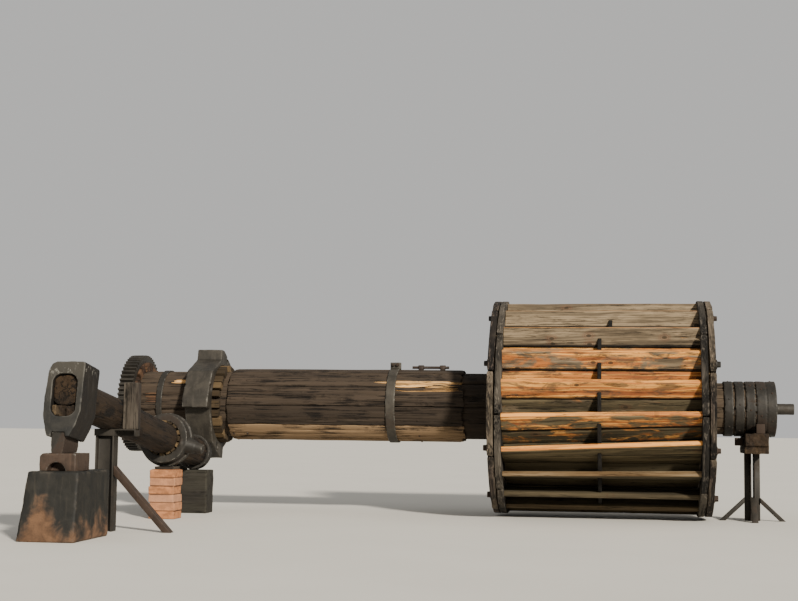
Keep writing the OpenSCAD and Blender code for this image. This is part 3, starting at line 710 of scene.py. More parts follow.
def board_outline(width, thick, across, corner):
    """Cross-section of a board as (v, w) points, with the way out at each."""
    v = np.linspace(-1, 1, across) * (width / 2 - corner)
    w = np.linspace(-1, 1, 2) * (thick / 2 - corner)
    sides = [(v, v * 0 + thick / 2, (0, 1)), (w * 0 + width / 2, w[::-1], (1, 0)),
             (v[::-1], v * 0 - thick / 2, (0, -1)), (w * 0 - width / 2, w, (-1, 0))]
    outline = np.concatenate([np.stack([a, b], -1) for a, b, _ in sides])
    out = np.concatenate([np.tile(n, (len(a), 1)) for a, _, n in sides])
    return outline, out.astype(float)


# How deep fibres, dents, nibbled edges and open checks go into a board
FIBRE_DEPTH, DENT_DEPTH, NIBBLE_DEPTH, CHECK_DEPTH = 0.0028, 0.005, 0.03, 0.013
CHECK_HALF_WIDTH = 0.008


def add_board(stack, place, size, seed, tone, along, across, wear=1.0, checks=0,
              ragged=(0.0, 0.0), corner=0.003, curve=None):
    """One board: fibres stand proud, edges are nibbled, checks open in its faces.
    place turns (u, v, w) into points; curve gives the grain of a board that is bent."""
    board_length, width, thick = size
    outline, out = board_outline(width, thick, across, corner)
    u = np.linspace(-0.5, 0.5, along + 1)[:, None] * board_length + 0 * outline[:, 0]
    v = 0 * u + outline[:, 0]
    w = 0 * u + outline[:, 1]
    fine = ripple(u * 3.1, v * 60, w * 60, seed) - 0.5
    broad = ripple(u * 1.3, v * 9, w * 9, seed + 5) - 0.5
    nibble = np.clip(ripple(u * 9, np.sign(v) * 3.3, np.sign(w) * 2.2, seed + 8) - 0.62, 0, 1)
    lift = wear * (FIBRE_DEPTH * fine + DENT_DEPTH * broad)
    near_edge = np.abs(outline[:, 0]) > width / 2 - 2.2 * corner
    lift -= wear * NIBBLE_DEPTH * nibble * near_edge
    for i in range(checks):
        middle_v = (chance(seed, i, 3, 1) - 0.5) * width * 0.8
        middle_u = (chance(seed, i, 1, 7) - 0.5) * board_length
        reach_u = board_length * (0.12 + 0.2 * chance(seed, i, 9, 2))
        wander = middle_v + 0.014 * (ripple(u * 2.2, i, 0.0, seed + 2) - 0.5)
        gape = np.clip(1 - np.abs(u - middle_u) / reach_u, 0, 1)
        gape = gape * np.exp(-((v - wander) / CHECK_HALF_WIDTH) ** 2)
        lift -= CHECK_DEPTH * gape * np.abs(out[:, 1])
    ends = [(0, ragged[0], -1), (-1, ragged[1], 1)]
    flat_u, flat_v, flat_w = u.copy(), v.copy(), w.copy()
    v = v + out[:, 0] * lift
    w = w + out[:, 1] * lift
    for index, rag, sign in ends:
        v[index] *= 1 - corner / width
        w[index] *= 1 - 2 * corner / thick
        u[index] -= sign * (0.003 + 0.004 * ripple(v[index] * 50, w[index] * 50, 0.0, seed))
        if rag:
            inner = 1 if index == 0 else -2
            jag = rag * ripple(v[index] * 38, w[index] * 12, 1.0, seed + 4)
            u[index] -= sign * jag
            u[inner] -= sign * jag * 0.9
    points = place(u, v, w)
    if curve is None:
        grain = np.stack([flat_u + seed * 3.7, flat_v, flat_w + seed * 0.31], -1)
    else:
        grain = curve(flat_u, flat_v, flat_w)
    stack.tube(points, grain, tone)


def add_log(stack, x_left, size, seed, along, around, checks, tone, rough, ends):
    """One log of (length, radius) on the shaft's axis, with open checks and ragged ends.
    Each check is (angle, begin, end, depth, half width)."""
    log_length, radius = size
    turn = np.linspace(0, 2 * math.pi, around, endpoint=False)[None, :]
    u = np.linspace(0, 1, along + 1)[:, None] * log_length + 0 * turn
    cy, cz = np.cos(turn), np.sin(turn)
    r = radius + rough * (ripple(u * 0.8, cy * 3, cz * 3, seed) - 0.7)
    r = r + rough * 0.45 * (ripple(u * 2.0, cy * radius * 70, cz * radius * 70, seed + 1) - 0.5)
    for i, (at, begin, end, depth, half) in enumerate(checks):
        wander = at + 0.05 / radius * (ripple(u * 1.3, i * 3.1, 0.0, seed + 6) - 0.5)
        off = (turn - wander + math.pi) % (2 * math.pi) - math.pi
        centre, half_u = (begin + end) / 2, (end - begin) / 2
        gape = np.clip((1 - np.abs(u - centre) / half_u) * 3, 0, 1)
        r = r - depth * gape * np.exp(-(off * radius / half) ** 2)
    body = np.stack([u, r * cy, r * cz])
    shrink = np.array([0.97, 0.75, 0.45, 0.15])[:, None]
    shrink = np.stack([np.ones_like(shrink), shrink, shrink])
    caps = []
    for side, inward, ragged in ((0, 1, ends[0]), (-1, -1, ends[1])):
        cap_u, cap_y, cap_z = body[:, side][:, None] * shrink
        jag = ragged * (ripple(0.0, cap_y * 22, cap_z * 22, seed + 12) - 0.2)
        caps.append(np.stack([cap_u + inward * jag, cap_y, cap_z]))
    u, y, z = np.concatenate([caps[0][:, ::-1], body, caps[1]], axis=1)
    stack.tube(np.stack([x_left + u, SHAFT_Y + y, SHAFT_Z + z], -1),
               np.stack([u + seed * 3.7, y, z], -1), tone)


def torn_wood(name, count, right, first_turn, radius, longest, seed):
    """Loose slivers side by side on the shaft, all ending near one place."""
    stack = Stack()
    for k in range(count):
        share, other = chance(seed, k, 1, 5), chance(seed, k, 7, 2)
        size = (longest * (0.23 + 0.77 * share), 0.006 + 0.02 * other, 0.008)
        x = right - size[0] / 2 - 0.5 * longest * (1 - share) * other
        turn = first_turn + 0.03 * k

        def sliver(u, v, w, x=x, turn=turn, half=size[0] / 2):
            slim = 1 - 0.85 * np.clip(np.abs(u) / half, 0, 1) ** 2
            sway = 0.02 * (ripple(u * 5, turn * 40, 0.0, 3.0) - 0.5)
            lift = 0.006 * (ripple(u * 6, turn * 40, 0.0, 5.0) - 0.5)
            return about_shaft(x + u, turn + (v * slim + sway) / radius,
                               radius + lift + w * slim)

        add_board(stack, sliver, size, seed + k, 0.25 + 0.6 * other, along=30, across=4,
                  wear=0.8, ragged=(0.03, 0.03))
    return stack_object(name, stack)


def about_shaft(x, turn, radius):
    """Points from a place along the shaft, an angle and a radius about its axis."""
    return np.stack([x, SHAFT_Y + radius * np.cos(turn), SHAFT_Z + radius * np.sin(turn)], -1)


def along_shaft(x_mid, turn, radius):
    """Places a board along the shaft, its width round it."""
    return lambda u, v, w: about_shaft(x_mid + u, turn + v / radius, radius + w)


def round_shaft(x_mid, turn, radius, warp=0.0):
    """Places a board round the shaft, its width outwards."""
    return lambda u, v, w: about_shaft(x_mid + w + warp * np.cos(u * 3), turn + u / radius,
                                       radius + v)


def helve_matrix():
    """Local frame of the helve: X across, +Y to the tail."""
    tilt = bpy.context.scene.wheel_shaft.helve_tilt
    return Matrix.Translation((HELVE_X, HELVE_Y, HELVE_Z)) @ Matrix.Rotation(-tilt, 4, "X")


# Geometry node trees


def new_tree(name, **inputs):
    """An empty geometry tree with named inputs by kind, and their wires by name."""
    tree = bpy.data.node_groups.new(name, "GeometryNodeTree")
    sockets = {"Geometry": ["Geometry"], **inputs, "Material": ["Material"]}
    for kind, labels in sockets.items():
        for label in labels:
            tree.interface.new_socket(label, in_out="INPUT", socket_type="NodeSocket" + kind)
    tree.interface.new_socket("Geometry", in_out="OUTPUT", socket_type="NodeSocketGeometry")
    graph = Graph(tree)
    group = tree.nodes.new("NodeGroupInput")
    return graph, {out.name: Wire(graph, out) for out in group.outputs if out.name}


def close_tree(graph, wires, geometry):
    """Ends a tree in Realize Instances and Set Material."""
    real = graph.geo("RealizeInstances", Geometry=geometry)
    done = graph.geo("SetMaterial", Geometry=real, Material=wires["Material"])
    graph.add("NodeGroupOutput", {}, {0: done})
    return graph.tree


def grow(name, tree, look, values, mesh=None):
    """Runs a tree on a mesh and returns the result as a plain mesh object."""
    obj = new_object(name, mesh or bpy.data.meshes.new(name))
    modifier = obj.modifiers.new("grow", "NODES")
    modifier.node_group = tree
    values = {**values, "Material": finish(look)}
    for item in tree.interface.items_tree:
        if item.item_type == "SOCKET" and item.in_out == "INPUT" and item.name in values:
            modifier[item.identifier] = values[item.name]
    return bake_modifiers(obj)


def float_tree():
    """Two boards for each float, set round the wheel."""
    graph, inputs = new_tree("Float boards", Int=["Floats"], Vector=["Middle"], Float=[
        "First", "Length", "Lip radius", "Slope length", "Slope", "Thickness", "Gap"])
    width = inputs["Slope length"] * 0.5 - inputs["Gap"]
    plank = graph.geo("MeshCube", Size=graph.joined(inputs["Length"], width, inputs["Thickness"]),
                      Vertices_X=54, Vertices_Y=11, Vertices_Z=3)
    planks = graph.geo("InstanceOnPoints", Points=graph.geo("Points", Count=inputs["Floats"] * 2),
                       Instance=plank)
    planks = graph.store(planks, "board", graph.geo("InputIndex"), "INSTANCE")
    real = graph.geo("RealizeInstances", Geometry=planks)
    board, position = graph.named("board"), graph.geo("InputPosition")
    grain = graph.vector("ADD", position, graph.joined(board * 3.71, board * 0.23, 0.0))
    real = graph.store(real, "grain", grain, kind="FLOAT_VECTOR")
    u, v, t = position.split()
    fine = graph.noise(grain, (3.0, 58.0, 58.0), 2.0, 0.5)
    broad = graph.noise(grain, (1.3, 8.0, 8.0), 1.0, 0.5)
    side_v = v.maths("SIGN") * abs(v).above(width * 0.49)
    side_t = t.maths("SIGN") * abs(t).above(inputs["Thickness"] * 0.4)
    bite = 0.004 + 0.018 * (broad - 0.42).maths("MAXIMUM", 0.0)
    lift = ((fine - 0.5) * 0.004 + (broad - 0.5) * 0.007
            - abs(side_v) * abs(side_t) * bite)
    inner = board.part(2.0)
    front = v.below(width * -0.45)
    # The lip is the front edge of the outer board; the finish gives it a painted highlight
    real = graph.store(real, "lip", (1.0 - inner) * front)
    # The seam marks the inner end of each board and the front edge of the inner board, where the boards
    # meet each other and the sole; the finish darkens it as painted shadow in the gap
    real = graph.store(real, "seam", v.above(width * 0.35) + inner * front)
    real = graph.store(real, "tone", graph.random(0.0, 1.0, 12, board))
    pair = (board * 0.5).floor()
    turn = inputs["First"] + pair * (2 * math.pi) / inputs["Floats"]
    turn = turn + graph.random(-0.009, 0.009, 6, pair)
    sag = graph.random(-0.002, 0.002, 5, board) - inner * 0.007
    along = inputs["Slope length"] * (0.25 + 0.5 * inner) + v + side_v * lift
    down = t + side_t * lift + sag - inputs["Thickness"] * 0.5
    cosine, sine = inputs["Slope"].maths("COSINE"), inputs["Slope"].maths("SINE")
    local = graph.joined(u, inputs["Lip radius"] - along * cosine + down * sine,
                         along * sine + down * cosine)
    turned = graph.add("ShaderNodeVectorRotate", {"rotation_type": "X_AXIS"},
                       {"Vector": local, "Angle": turn})
    placed = graph.vector("ADD", turned, inputs["Middle"])
    return close_tree(graph, inputs, graph.geo("SetPosition", Geometry=real, Position=placed))


def wedge_tree():
    """Split wedges driven round a ring, about the X axis."""
    graph, inputs = new_tree("Driven wedges", Int=["Count", "Seed"],
                             Float=["Radius", "Length", "Depth", "Width", "Stagger"])
    block = graph.geo("MeshCube", Size=(1.0, 1.0, 1.0), Vertices_X=6, Vertices_Y=3, Vertices_Z=4)
    seed = inputs["Seed"]
    turn = (graph.geo("InputIndex") + graph.random(-0.12, 0.12, seed)) * (2 * math.pi) / inputs["Count"]
    size = graph.joined(inputs["Length"] * graph.random(0.9, 1.08, seed + 1.0), inputs["Depth"],
                        inputs["Width"] * graph.random(0.72, 1.0, seed + 2.0))
    spot = graph.joined(inputs["Stagger"] * graph.random(-1.0, 1.0, seed + 3.0),
                        inputs["Radius"] * turn.maths("COSINE"), inputs["Radius"] * turn.maths("SINE"))
    points = graph.geo("SetPosition", Geometry=graph.geo("Points", Count=inputs["Count"]), Position=spot)
    placed = graph.geo("InstanceOnPoints", Points=points, Instance=block,
                       Rotation=graph.joined(turn, 0.0, 0.0), Scale=size)
    placed = graph.store(placed, "tone", graph.random(0.0, 1.0, seed + 4.0), "INSTANCE")
    real = graph.geo("RealizeInstances", Geometry=placed)
    grain = graph.vector("ADD", graph.geo("InputPosition"),
                         graph.joined(graph.named("tone") * 9.0, 0.0, 0.0))
    real = graph.store(real, "grain", grain, kind="FLOAT_VECTOR")
    push = graph.wander(grain, (9.0, 60.0, 60.0), (0.022, 0.007, 0.007))
    return close_tree(graph, inputs, graph.geo("SetPosition", Geometry=real, Offset=push))


def cone(graph, sides, top, bottom, height):
    """A bolt head or a washer."""
    return graph.geo("MeshCone", Vertices=sides, Side_Segments=1, Fill_Segments=1, Radius_Top=top,
                     Radius_Bottom=bottom, Depth=height)


def heads_tree():
    """Bolt or nail heads on points, each turned along the point's aim."""
    graph, inputs = new_tree("Heads on points", Int=["Sides"], Float=[
        "Radius", "Top radius", "Height", "Washer radius", "Washer height"])
    head = graph.geo("Transform", Translation=graph.joined(0.0, 0.0, inputs["Washer height"]),
                     Geometry=cone(graph, inputs["Sides"], inputs["Top radius"],
                                   inputs["Radius"], inputs["Height"]))
    washer = cone(graph, 20, inputs["Washer radius"] * 0.93, inputs["Washer radius"],
                  inputs["Washer height"])
    turn = graph.add("FunctionNodeAlignRotationToVector", {"axis": "Z"},
                     {"Vector": graph.named("aim", "FLOAT_VECTOR")})
    spin = graph.add("FunctionNodeAxisAngleToRotation", {}, {
        "Axis": (0.0, 0.0, 1.0), "Angle": graph.random(0.0, 6.28, 4)})
    turn = graph.add("FunctionNodeRotateRotation", {"rotation_space": "LOCAL"},
                     {0: turn, 1: spin})
    size = graph.random(0.86, 1.1, 8)
    points = graph.geo("MeshToPoints", Mesh=inputs["Geometry"])
    return close_tree(graph, inputs, graph.geo(
        "InstanceOnPoints", Points=points, Instance=graph.join(head, washer), Rotation=turn,
        Scale=graph.joined(size, size, size)))


def gear_tree():
    """A toothed ring about the X axis."""
    graph, inputs = new_tree("Toothed ring", Int=["Teeth"], Vector=["Middle"],
                             Float=["Tip radius", "Root radius", "Bore radius", "Width"])
    root, bore, width = inputs["Root radius"], inputs["Bore radius"], inputs["Width"]
    circle = graph.geo("CurvePrimitiveCircle", Resolution=120, Radius=(root + bore) * 0.5)
    section = graph.geo("CurvePrimitiveQuadrilateral", Width=root - bore, Height=width)
    ring = graph.geo("Transform", Rotation=(0.0, math.pi / 2, 0.0),
                     Geometry=graph.geo("CurveToMesh", Curve=circle, Profile_Curve=section))
    height = inputs["Tip radius"] - root
    pitch = root * (2 * math.pi) / inputs["Teeth"]
    tooth = graph.geo("MeshCube", Size=graph.joined(width, height + 0.006, pitch * 0.62),
                      Vertices_X=4, Vertices_Y=4, Vertices_Z=3)
    x, y, z = graph.geo("InputPosition").split()
    slim = 1.0 - (y / height + 0.5).ramp(-0.1, 1.15) * 0.5
    round_end = 1.0 - (abs(x) / width * 2.0).ramp(0.9, 1.0) * 0.02
    tooth = graph.geo("SetPosition", Geometry=tooth,
                      Position=graph.joined(x, y * round_end, z * slim))
    turn = graph.geo("InputIndex") * (2 * math.pi) / inputs["Teeth"] + 0.03
    middle_r = root + height * 0.5 - 0.003
    points = graph.geo("Points", Count=inputs["Teeth"])
    points = graph.geo("SetPosition", Geometry=points, Position=graph.joined(
        0.0, middle_r * turn.maths("COSINE"), middle_r * turn.maths("SINE")))
    teeth = graph.geo("InstanceOnPoints", Points=points, Instance=tooth,
                      Rotation=graph.joined(turn, 0.0, 0.0))
    both = graph.join(ring, graph.geo("RealizeInstances", Geometry=teeth))
    place = graph.geo("InputPosition")
    rough = graph.vector("ADD", place, graph.wander(place, (14.0, 14.0, 14.0), (0.006, 0.006, 0.006)))
    placed = graph.vector("ADD", rough, inputs["Middle"])
    return close_tree(graph, inputs, graph.geo("SetPosition", Geometry=both, Position=placed))


def aimed_points(name, places):
    """A mesh of bare points, each with the way its head faces."""
    mesh = bpy.data.meshes.new(name)
    mesh.from_pydata([tuple(place) for place, _ in places], [], [])
    set_values(mesh, "aim", [tuple(aim) for _, aim in places])
    return mesh


def on_shaft(x, turn, radius):
    """Place and way out of a point about the shaft."""
    way = Vector((0.0, math.cos(turn), math.sin(turn)))
    return Vector((x, SHAFT_Y, SHAFT_Z)) + way * radius, way


# Finishes


FINISHES = {}


def finish(name):
    """A material by its name, made when it is first asked for."""
    if name not in FINISHES:
        FINISHES[name] = RECIPES[name](name)
    return FINISHES[name]


def wood(key, light, dark, grey, **more):
    """Recipe of a plain timber from one named colour."""
    def recipe(name):
        base = getattr(bpy.context.scene.wheel_wood, key)
        return wood_finish(name, tuple(base), tint(base, light), tint(base, dark), srgb(grey),
                           **more)
    return recipe


def iron(key, worn, lift=1.0, **more):
    """Recipe of an iron from one named colour."""
    def recipe(name):
        metals = bpy.context.scene.wheel_iron
        return iron_finish(name, tint(getattr(metals, key), lift), tint(metals.worn, worn),
                           tuple(metals.rust), **more)
    return recipe


def float_finish(name):
    """Float boards: fresh orange, straw and red where dry, grey where weathered, dark where damp.
    Painted shade darkens the low front boards, painted shadow the seams, and a painted highlight
    brightens the lips.
    """
    material, graph = new_finish(name)
    woods = bpy.context.scene.wheel_wood
    grain, tone = graph.attribute("grain", "Vector"), graph.attribute("tone")
    fresh, wet, seam = graph.attribute("fresh"), graph.attribute("wet"), graph.attribute("seam")
    curved = graph.vector("ADD", grain, graph.wander(grain, (1.6, 4.0, 4.0), (0.0, 0.06, 0.02)))
    fibre = graph.noise(grain, (2.2, 74.0, 74.0), 5.0, 0.68)
    late = graph.noise(curved, (0.35, 46.0, 46.0), 2.0, 0.5, 0.2, 2.0)
    streak = graph.noise(curved, (0.9, 15.0, 15.0), 4.0, 0.62, 0.5, 9.0)
    patch = graph.noise(curved, (2.2, 7.0, 7.0), 5.0, 0.66, 0.6, 4.0)
    stain = graph.noise(grain, (3.4, 11.0, 11.0), 6.0, 0.7, 0.6, 31.0)
    dry = graph.coat(
        woods.sunny,
        (late.ramp(0.45, 0.6), woods.straw),
        (streak.ramp(0.52, 0.64) * 0.65, woods.rusty),
        (stain.ramp(0.5, 0.62) * 0.75, tint(woods.grey, 0.5)),
        (fibre.ramp(0.49, 0.68) * 0.6, tint(woods.rusty, 0.5)))
    old = graph.coat(
        tint(woods.grey, 0.62),
        (streak.ramp(0.36, 0.62), tint(woods.grey, 1.6)),
        (stain.ramp(0.5, 0.64) * 0.45, tint(woods.grey, 0.4)),
        (fibre.ramp(0.46, 0.66) * 0.8, tint(woods.grey, 0.25)))
    # Dark wood of damp patches, and painted shade on the low front boards
    dark = graph.coat(
        tint(woods.shade, 0.6),
        (streak.ramp(0.35, 0.65), tint(woods.shade, 1.5)),
        (fibre.ramp(0.48, 0.72) * 0.6, tint(woods.shade, 0.3)))
    lip = graph.attribute("lip").ramp(0.4, 0.9)
    # Damp patches, and painted shade: the wetter boards turn wholly dark
    damp_and_shade = (stain * 0.5 + patch * 0.5 + (wet - 0.5) * 0.8).ramp(0.46, 0.55)
    damp_and_shade = damp_and_shade * (1.0 - lip * (fresh + 0.1))
    # Painted highlight: the lips of the outer boards are painted brighter, most on the fresh boards
    painted_lip_highlight = graph.blend(0.35 + 0.5 * streak.ramp(0.42, 0.6), woods.straw, woods.sunny)
    heart, rings = graph.knots(grain, (5.5, 9.0, 9.0), 0.09, 0.16, 0.5, 60.0, "2D")
    split = graph.cracks(curved, (0.6, 24.0, 24.0), 0.014, stain.ramp(0.38, 0.5))
    paint = graph.coat(
        old,
        ((patch + (fresh - 0.5) * 0.9).ramp(0.44, 0.56), dry),
        (damp_and_shade, dark),
        (rings * 0.55, tint(woods.rusty, 0.6)),
        (heart * 0.8, tint(woods.shade, 0.3)),
        (split * 0.9, woods.crack),
        (lip * (1.0 - damp_and_shade) * (0.15 + fresh * 0.7), painted_lip_highlight),
        # Painted shade: boards wetter than 1 are darkened further
        (wet.ramp(1.0, 1.5) * 0.65, tint(woods.shade, 0.3)),
        # Painted shadow along the seams between the boards
        (seam.ramp(0.55, 1.0) * (0.55 + 0.6 * stain), woods.crack))
    close_finish(graph, graph.shaded(paint, tone, 0.78, 1.12), 0.95 - 0.2 * fibre.ramp(0.6, 0.3),
                 fibre * 0.7 + late * 0.8 - split * 1.5, 0.0022, 0.0, 0.25)
    return material


def brick_finish(name):
    """Fired clay: speckled faces, pale chips on the edges, dark joints."""
    material, graph = new_finish(name)
    metals = bpy.context.scene.wheel_iron
    place, edge = graph.place(), graph.attribute("edge")
    blotch = graph.noise(place, (14.0, 14.0, 22.0), 5.0, 0.6)
    speck = graph.noise(place, 130.0, 3.0, 0.6)
    paint = graph.coat(
        tint(metals.brick, 0.72),
        (blotch.ramp(0.35, 0.65), tint(metals.brick, 1.2)),
        (graph.attribute("tone").ramp(0.3, 1.0) * 0.6, srgb("a98168")),
        (speck.ramp(0.6, 0.75) * 0.5, tint(metals.brick, 0.45)),
        (edge.ramp(0.6, 0.9) * speck.ramp(0.5, 0.6) * 0.5, metals.mortar),
        ((1.0 - edge.ramp(0.25, 0.47)) * 0.8, srgb("2a1c14")),
        (graph.attribute("seam").ramp(0.3, 0.9) * 0.75, srgb("3c2b20")))
    close_finish(graph, paint, 0.93, speck * 0.6 + blotch, 0.003, 0.0, 0.2)
    return material


def block_finish(name):
    """Dark casting with a broad orange patch of rust low on its front."""
    material, graph = new_finish(name)
    metals = bpy.context.scene.wheel_iron
    low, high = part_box("anvil_block")
    place, edge = graph.place(), graph.attribute("edge")
    x, _, z = place.split()
    blotch = graph.noise(place, 7.0, 6.0, 0.62, 0.4)
    speck = graph.noise(place, 80.0, 4.0, 0.6)
    run = graph.noise(place, (17.0, 17.0, 2.6), 4.0, 0.6, 0.4, 8.0)
    orange = graph.coat(
        tint(metals.orange, 0.55),
        (blotch.ramp(0.36, 0.66), metals.orange),
        (speck.ramp(0.5, 0.72) * 0.4, metals.rust))
    height = (z - low.z) / (high.z - low.z)
    off_patch = abs(x - (low.x * 0.58 + high.x * 0.42)) / (high.x - low.x)
    side = (x - (high.x - 0.05)).ramp(-0.02, 0.04)
    share = (0.92 - height - off_patch * 1.35 * (1.0 - side) - side * 0.42
             + (blotch - 0.5) * 1.1 + (run - 0.5) * 0.3)
    paint = graph.coat(
        srgb("11110e"),
        (blotch.ramp(0.36, 0.66), srgb("201e19")),
        (run.ramp(0.52, 0.7) * 0.4, srgb("38332a")),
        (share.ramp(0.12, 0.56) * 0.85, orange),
        (edge.ramp(0.6, 0.9) * blotch.ramp(0.5, 0.6) * 0.5, srgb("4d463d")))
    close_finish(graph, paint, 0.72 + share.ramp(0.3, 0.46) * 0.22, speck * 0.6 + blotch, 0.002,
                 0.15, 0.4)
    return material


def head_finish(name):
    """Hammer head: blue-grey front, brown sides, a light rubbed edge."""
    material, graph = new_finish(name)
    metals = bpy.context.scene.wheel_iron
    low, high = reach("hammer_head", 2)
    place, edge = graph.place(), graph.attribute("edge")
    towards_front = -1.0 * graph.add("ShaderNodeNewGeometry", {}, {}, "Normal").split()[1]
    blotch = graph.noise(place, 6.0, 6.0, 0.62, 0.4)
    speck = graph.noise(place, 85.0, 4.0, 0.6)
    run = graph.noise(place, (30.0, 30.0, 3.0), 4.0, 0.6, 0.4, 8.0)
    chips = graph.noise(place, (34.0, 34.0, 20.0), 4.0, 0.7, 0.5, 13.0).ramp(0.59, 0.64)
    upper = place.split()[2].ramp((low + high) / 2, high)
    front = graph.coat(
        srgb("1b1b19"),
        (blotch.ramp(0.34, 0.66), srgb("2c2a26")),
        (upper * 0.6, srgb("403c34")))
    paint = graph.coat(
        graph.blend(blotch.ramp(0.34, 0.66), srgb("0e0b08"), srgb("1a150f")),
        (towards_front.ramp(0.35, 0.75), front),
        (run.ramp(0.58, 0.75) * 0.35, srgb("4a4844")),
        (speck.ramp(0.6, 0.8) * 0.3, srgb("141312")),
        (upper.ramp(0.6, 0.9) * chips * 0.7, tint(metals.worn, 1.7)),
        (edge.ramp(0.6, 0.9) * blotch.ramp(0.42, 0.56) * 0.65, metals.worn))
    close_finish(graph, paint, 0.6 + blotch * 0.25, speck * 0.6 + blotch, 0.0016, 0.2, 0.4)
    return material


RECIPES = {
    "Float boards": float_finish,
    "Bricks": brick_finish,
    "Anvil block": block_finish,
    "Hammer casting": head_finish,
    "Log wood": wood("log", 1.5, 0.4, "5a4c3a", bleach=0.3, checks=0.03, depth=0.004),
    "Cladding wood": wood("log", 1.5, 0.42, "7e674c", bleach=0.8, checks=0.04, knots=0.05,
                          depth=0.005, fibre_scale=1.7, pull=1.9),
    "Outer rim wood": wood("rim", 6.0, 0.3, "a3937b", bleach=0.2, checks=0.1, depth=0.006,
                           fibre_scale=2.6, stripes=(0.52, 0.6)),
    "Inner rim wood": wood("rim_blue", 5.5, 0.3, "958a79", bleach=0.15, checks=0.1,
                           depth=0.006, fibre_scale=2.6, stripes=(0.53, 0.61)),
    "Packing wood": wood("wedge", 1.3, 0.35, "5b4a2f", bleach=0.3),
    "Bracket wood": wood("crack", 2.4, 0.5, "1d1914", bleach=0.3),
    # The sole boards are painted in the dark colour of the shaded floats, painted shade
    "Sole wood": wood("shade", 1.2, 0.35, "3b382e", bleach=0.3),
    "Arm wood": wood("log", 1.4, 0.4, "57493b", bleach=0.3, knots=0.06),
    "Saddle timber": wood("helve", 2.2, 0.4, "54422c", bleach=0.4, knots=0.08),
    "Wedge wood": wood("wedge", 1.5, 0.3, "6e5a3e", bleach=0.35, checks=0.06, pull=1.2),
    "Rotten wedges": wood("rotten", 1.9, 0.3, "5e452f", bleach=0.4, checks=0.06),
    "Eye wedges": wood("helve", 1.9, 0.3, "6a5a42", bleach=0.3, checks=0.06),
    "Pale keys": wood("log", 1.5, 0.4, "8f7d5f", bleach=0.4, pull=1.4),
    "Helve wood": wood("helve", 1.7, 0.3, "453420", bleach=0.25, checks=0.05, depth=0.006),
    "Guide wood": wood("rim", 2.3, 0.35, "5d564b", bleach=0.45, checks=0.05),
    "Shim wood": wood("rim", 1.6, 0.5, "6a6152"),
    "Tail block timber": wood("rim_blue", 1.4, 0.5, "3f3d33", bleach=0.3),
    "Split wood": wood("split", 1.35, 0.3, "dcb57c", bleach=0.4, checks=0.05),
    "Strap iron": iron("strap", worn=1.3, rust_share=0.15, drip=0.2),
    "Bolt iron": iron("black", worn=0.7, rust_share=0.7),
    "Rod iron": iron("rust", worn=0.9, rust_share=0.3),
    "Hoop iron": iron("black", lift=1.15, worn=1.0, rust_share=0.3, drip=0.35),
    "Band iron": iron("casting", worn=1.1, rust_share=0.15),
    "Cam casting": iron("casting", lift=1.7, worn=1.3, rust_share=0.12, drip=0.3),
    "Gear casting": iron("casting", lift=1.15, worn=1.3, rust_share=0.2, drip=0.15),
    "Gudgeon iron": iron("casting", lift=1.6, worn=1.0, rust_share=0.25),
    "Stand iron": iron("black", lift=1.35, worn=1.2, rust_share=0.15, drip=0.4),
    "Chock iron": iron("rust", worn=0.6, rust_share=0.6),
    "Bit steel": iron("casting", lift=0.9, worn=1.1, rust_share=0.5),
    "Hurst casting": iron("casting", worn=1.7, rust_share=0.15, drip=0.3),
    "Tail hoop iron": iron("casting", lift=0.8, worn=1.9, rust_share=0.1),
    "Anvil iron": iron("rust", lift=1.6, worn=1.1, rust_share=0.2, drip=0.2),
    "Brace iron": iron("rust", lift=1.3, worn=1.0, rust_share=0.2, drip=0.3),
}


# Operators


class PieceOperator:
    """What all of these operators share: a table of pieces to take over."""
    bl_options = {"REGISTER", "UNDO"}
    body = STANDS
    pieces = ()

    def execute(self, context):
        self.build(context)
        return {"FINISHED"}

    def build(self, context):
        for piece in self.pieces:
            take_over(piece, self.body)


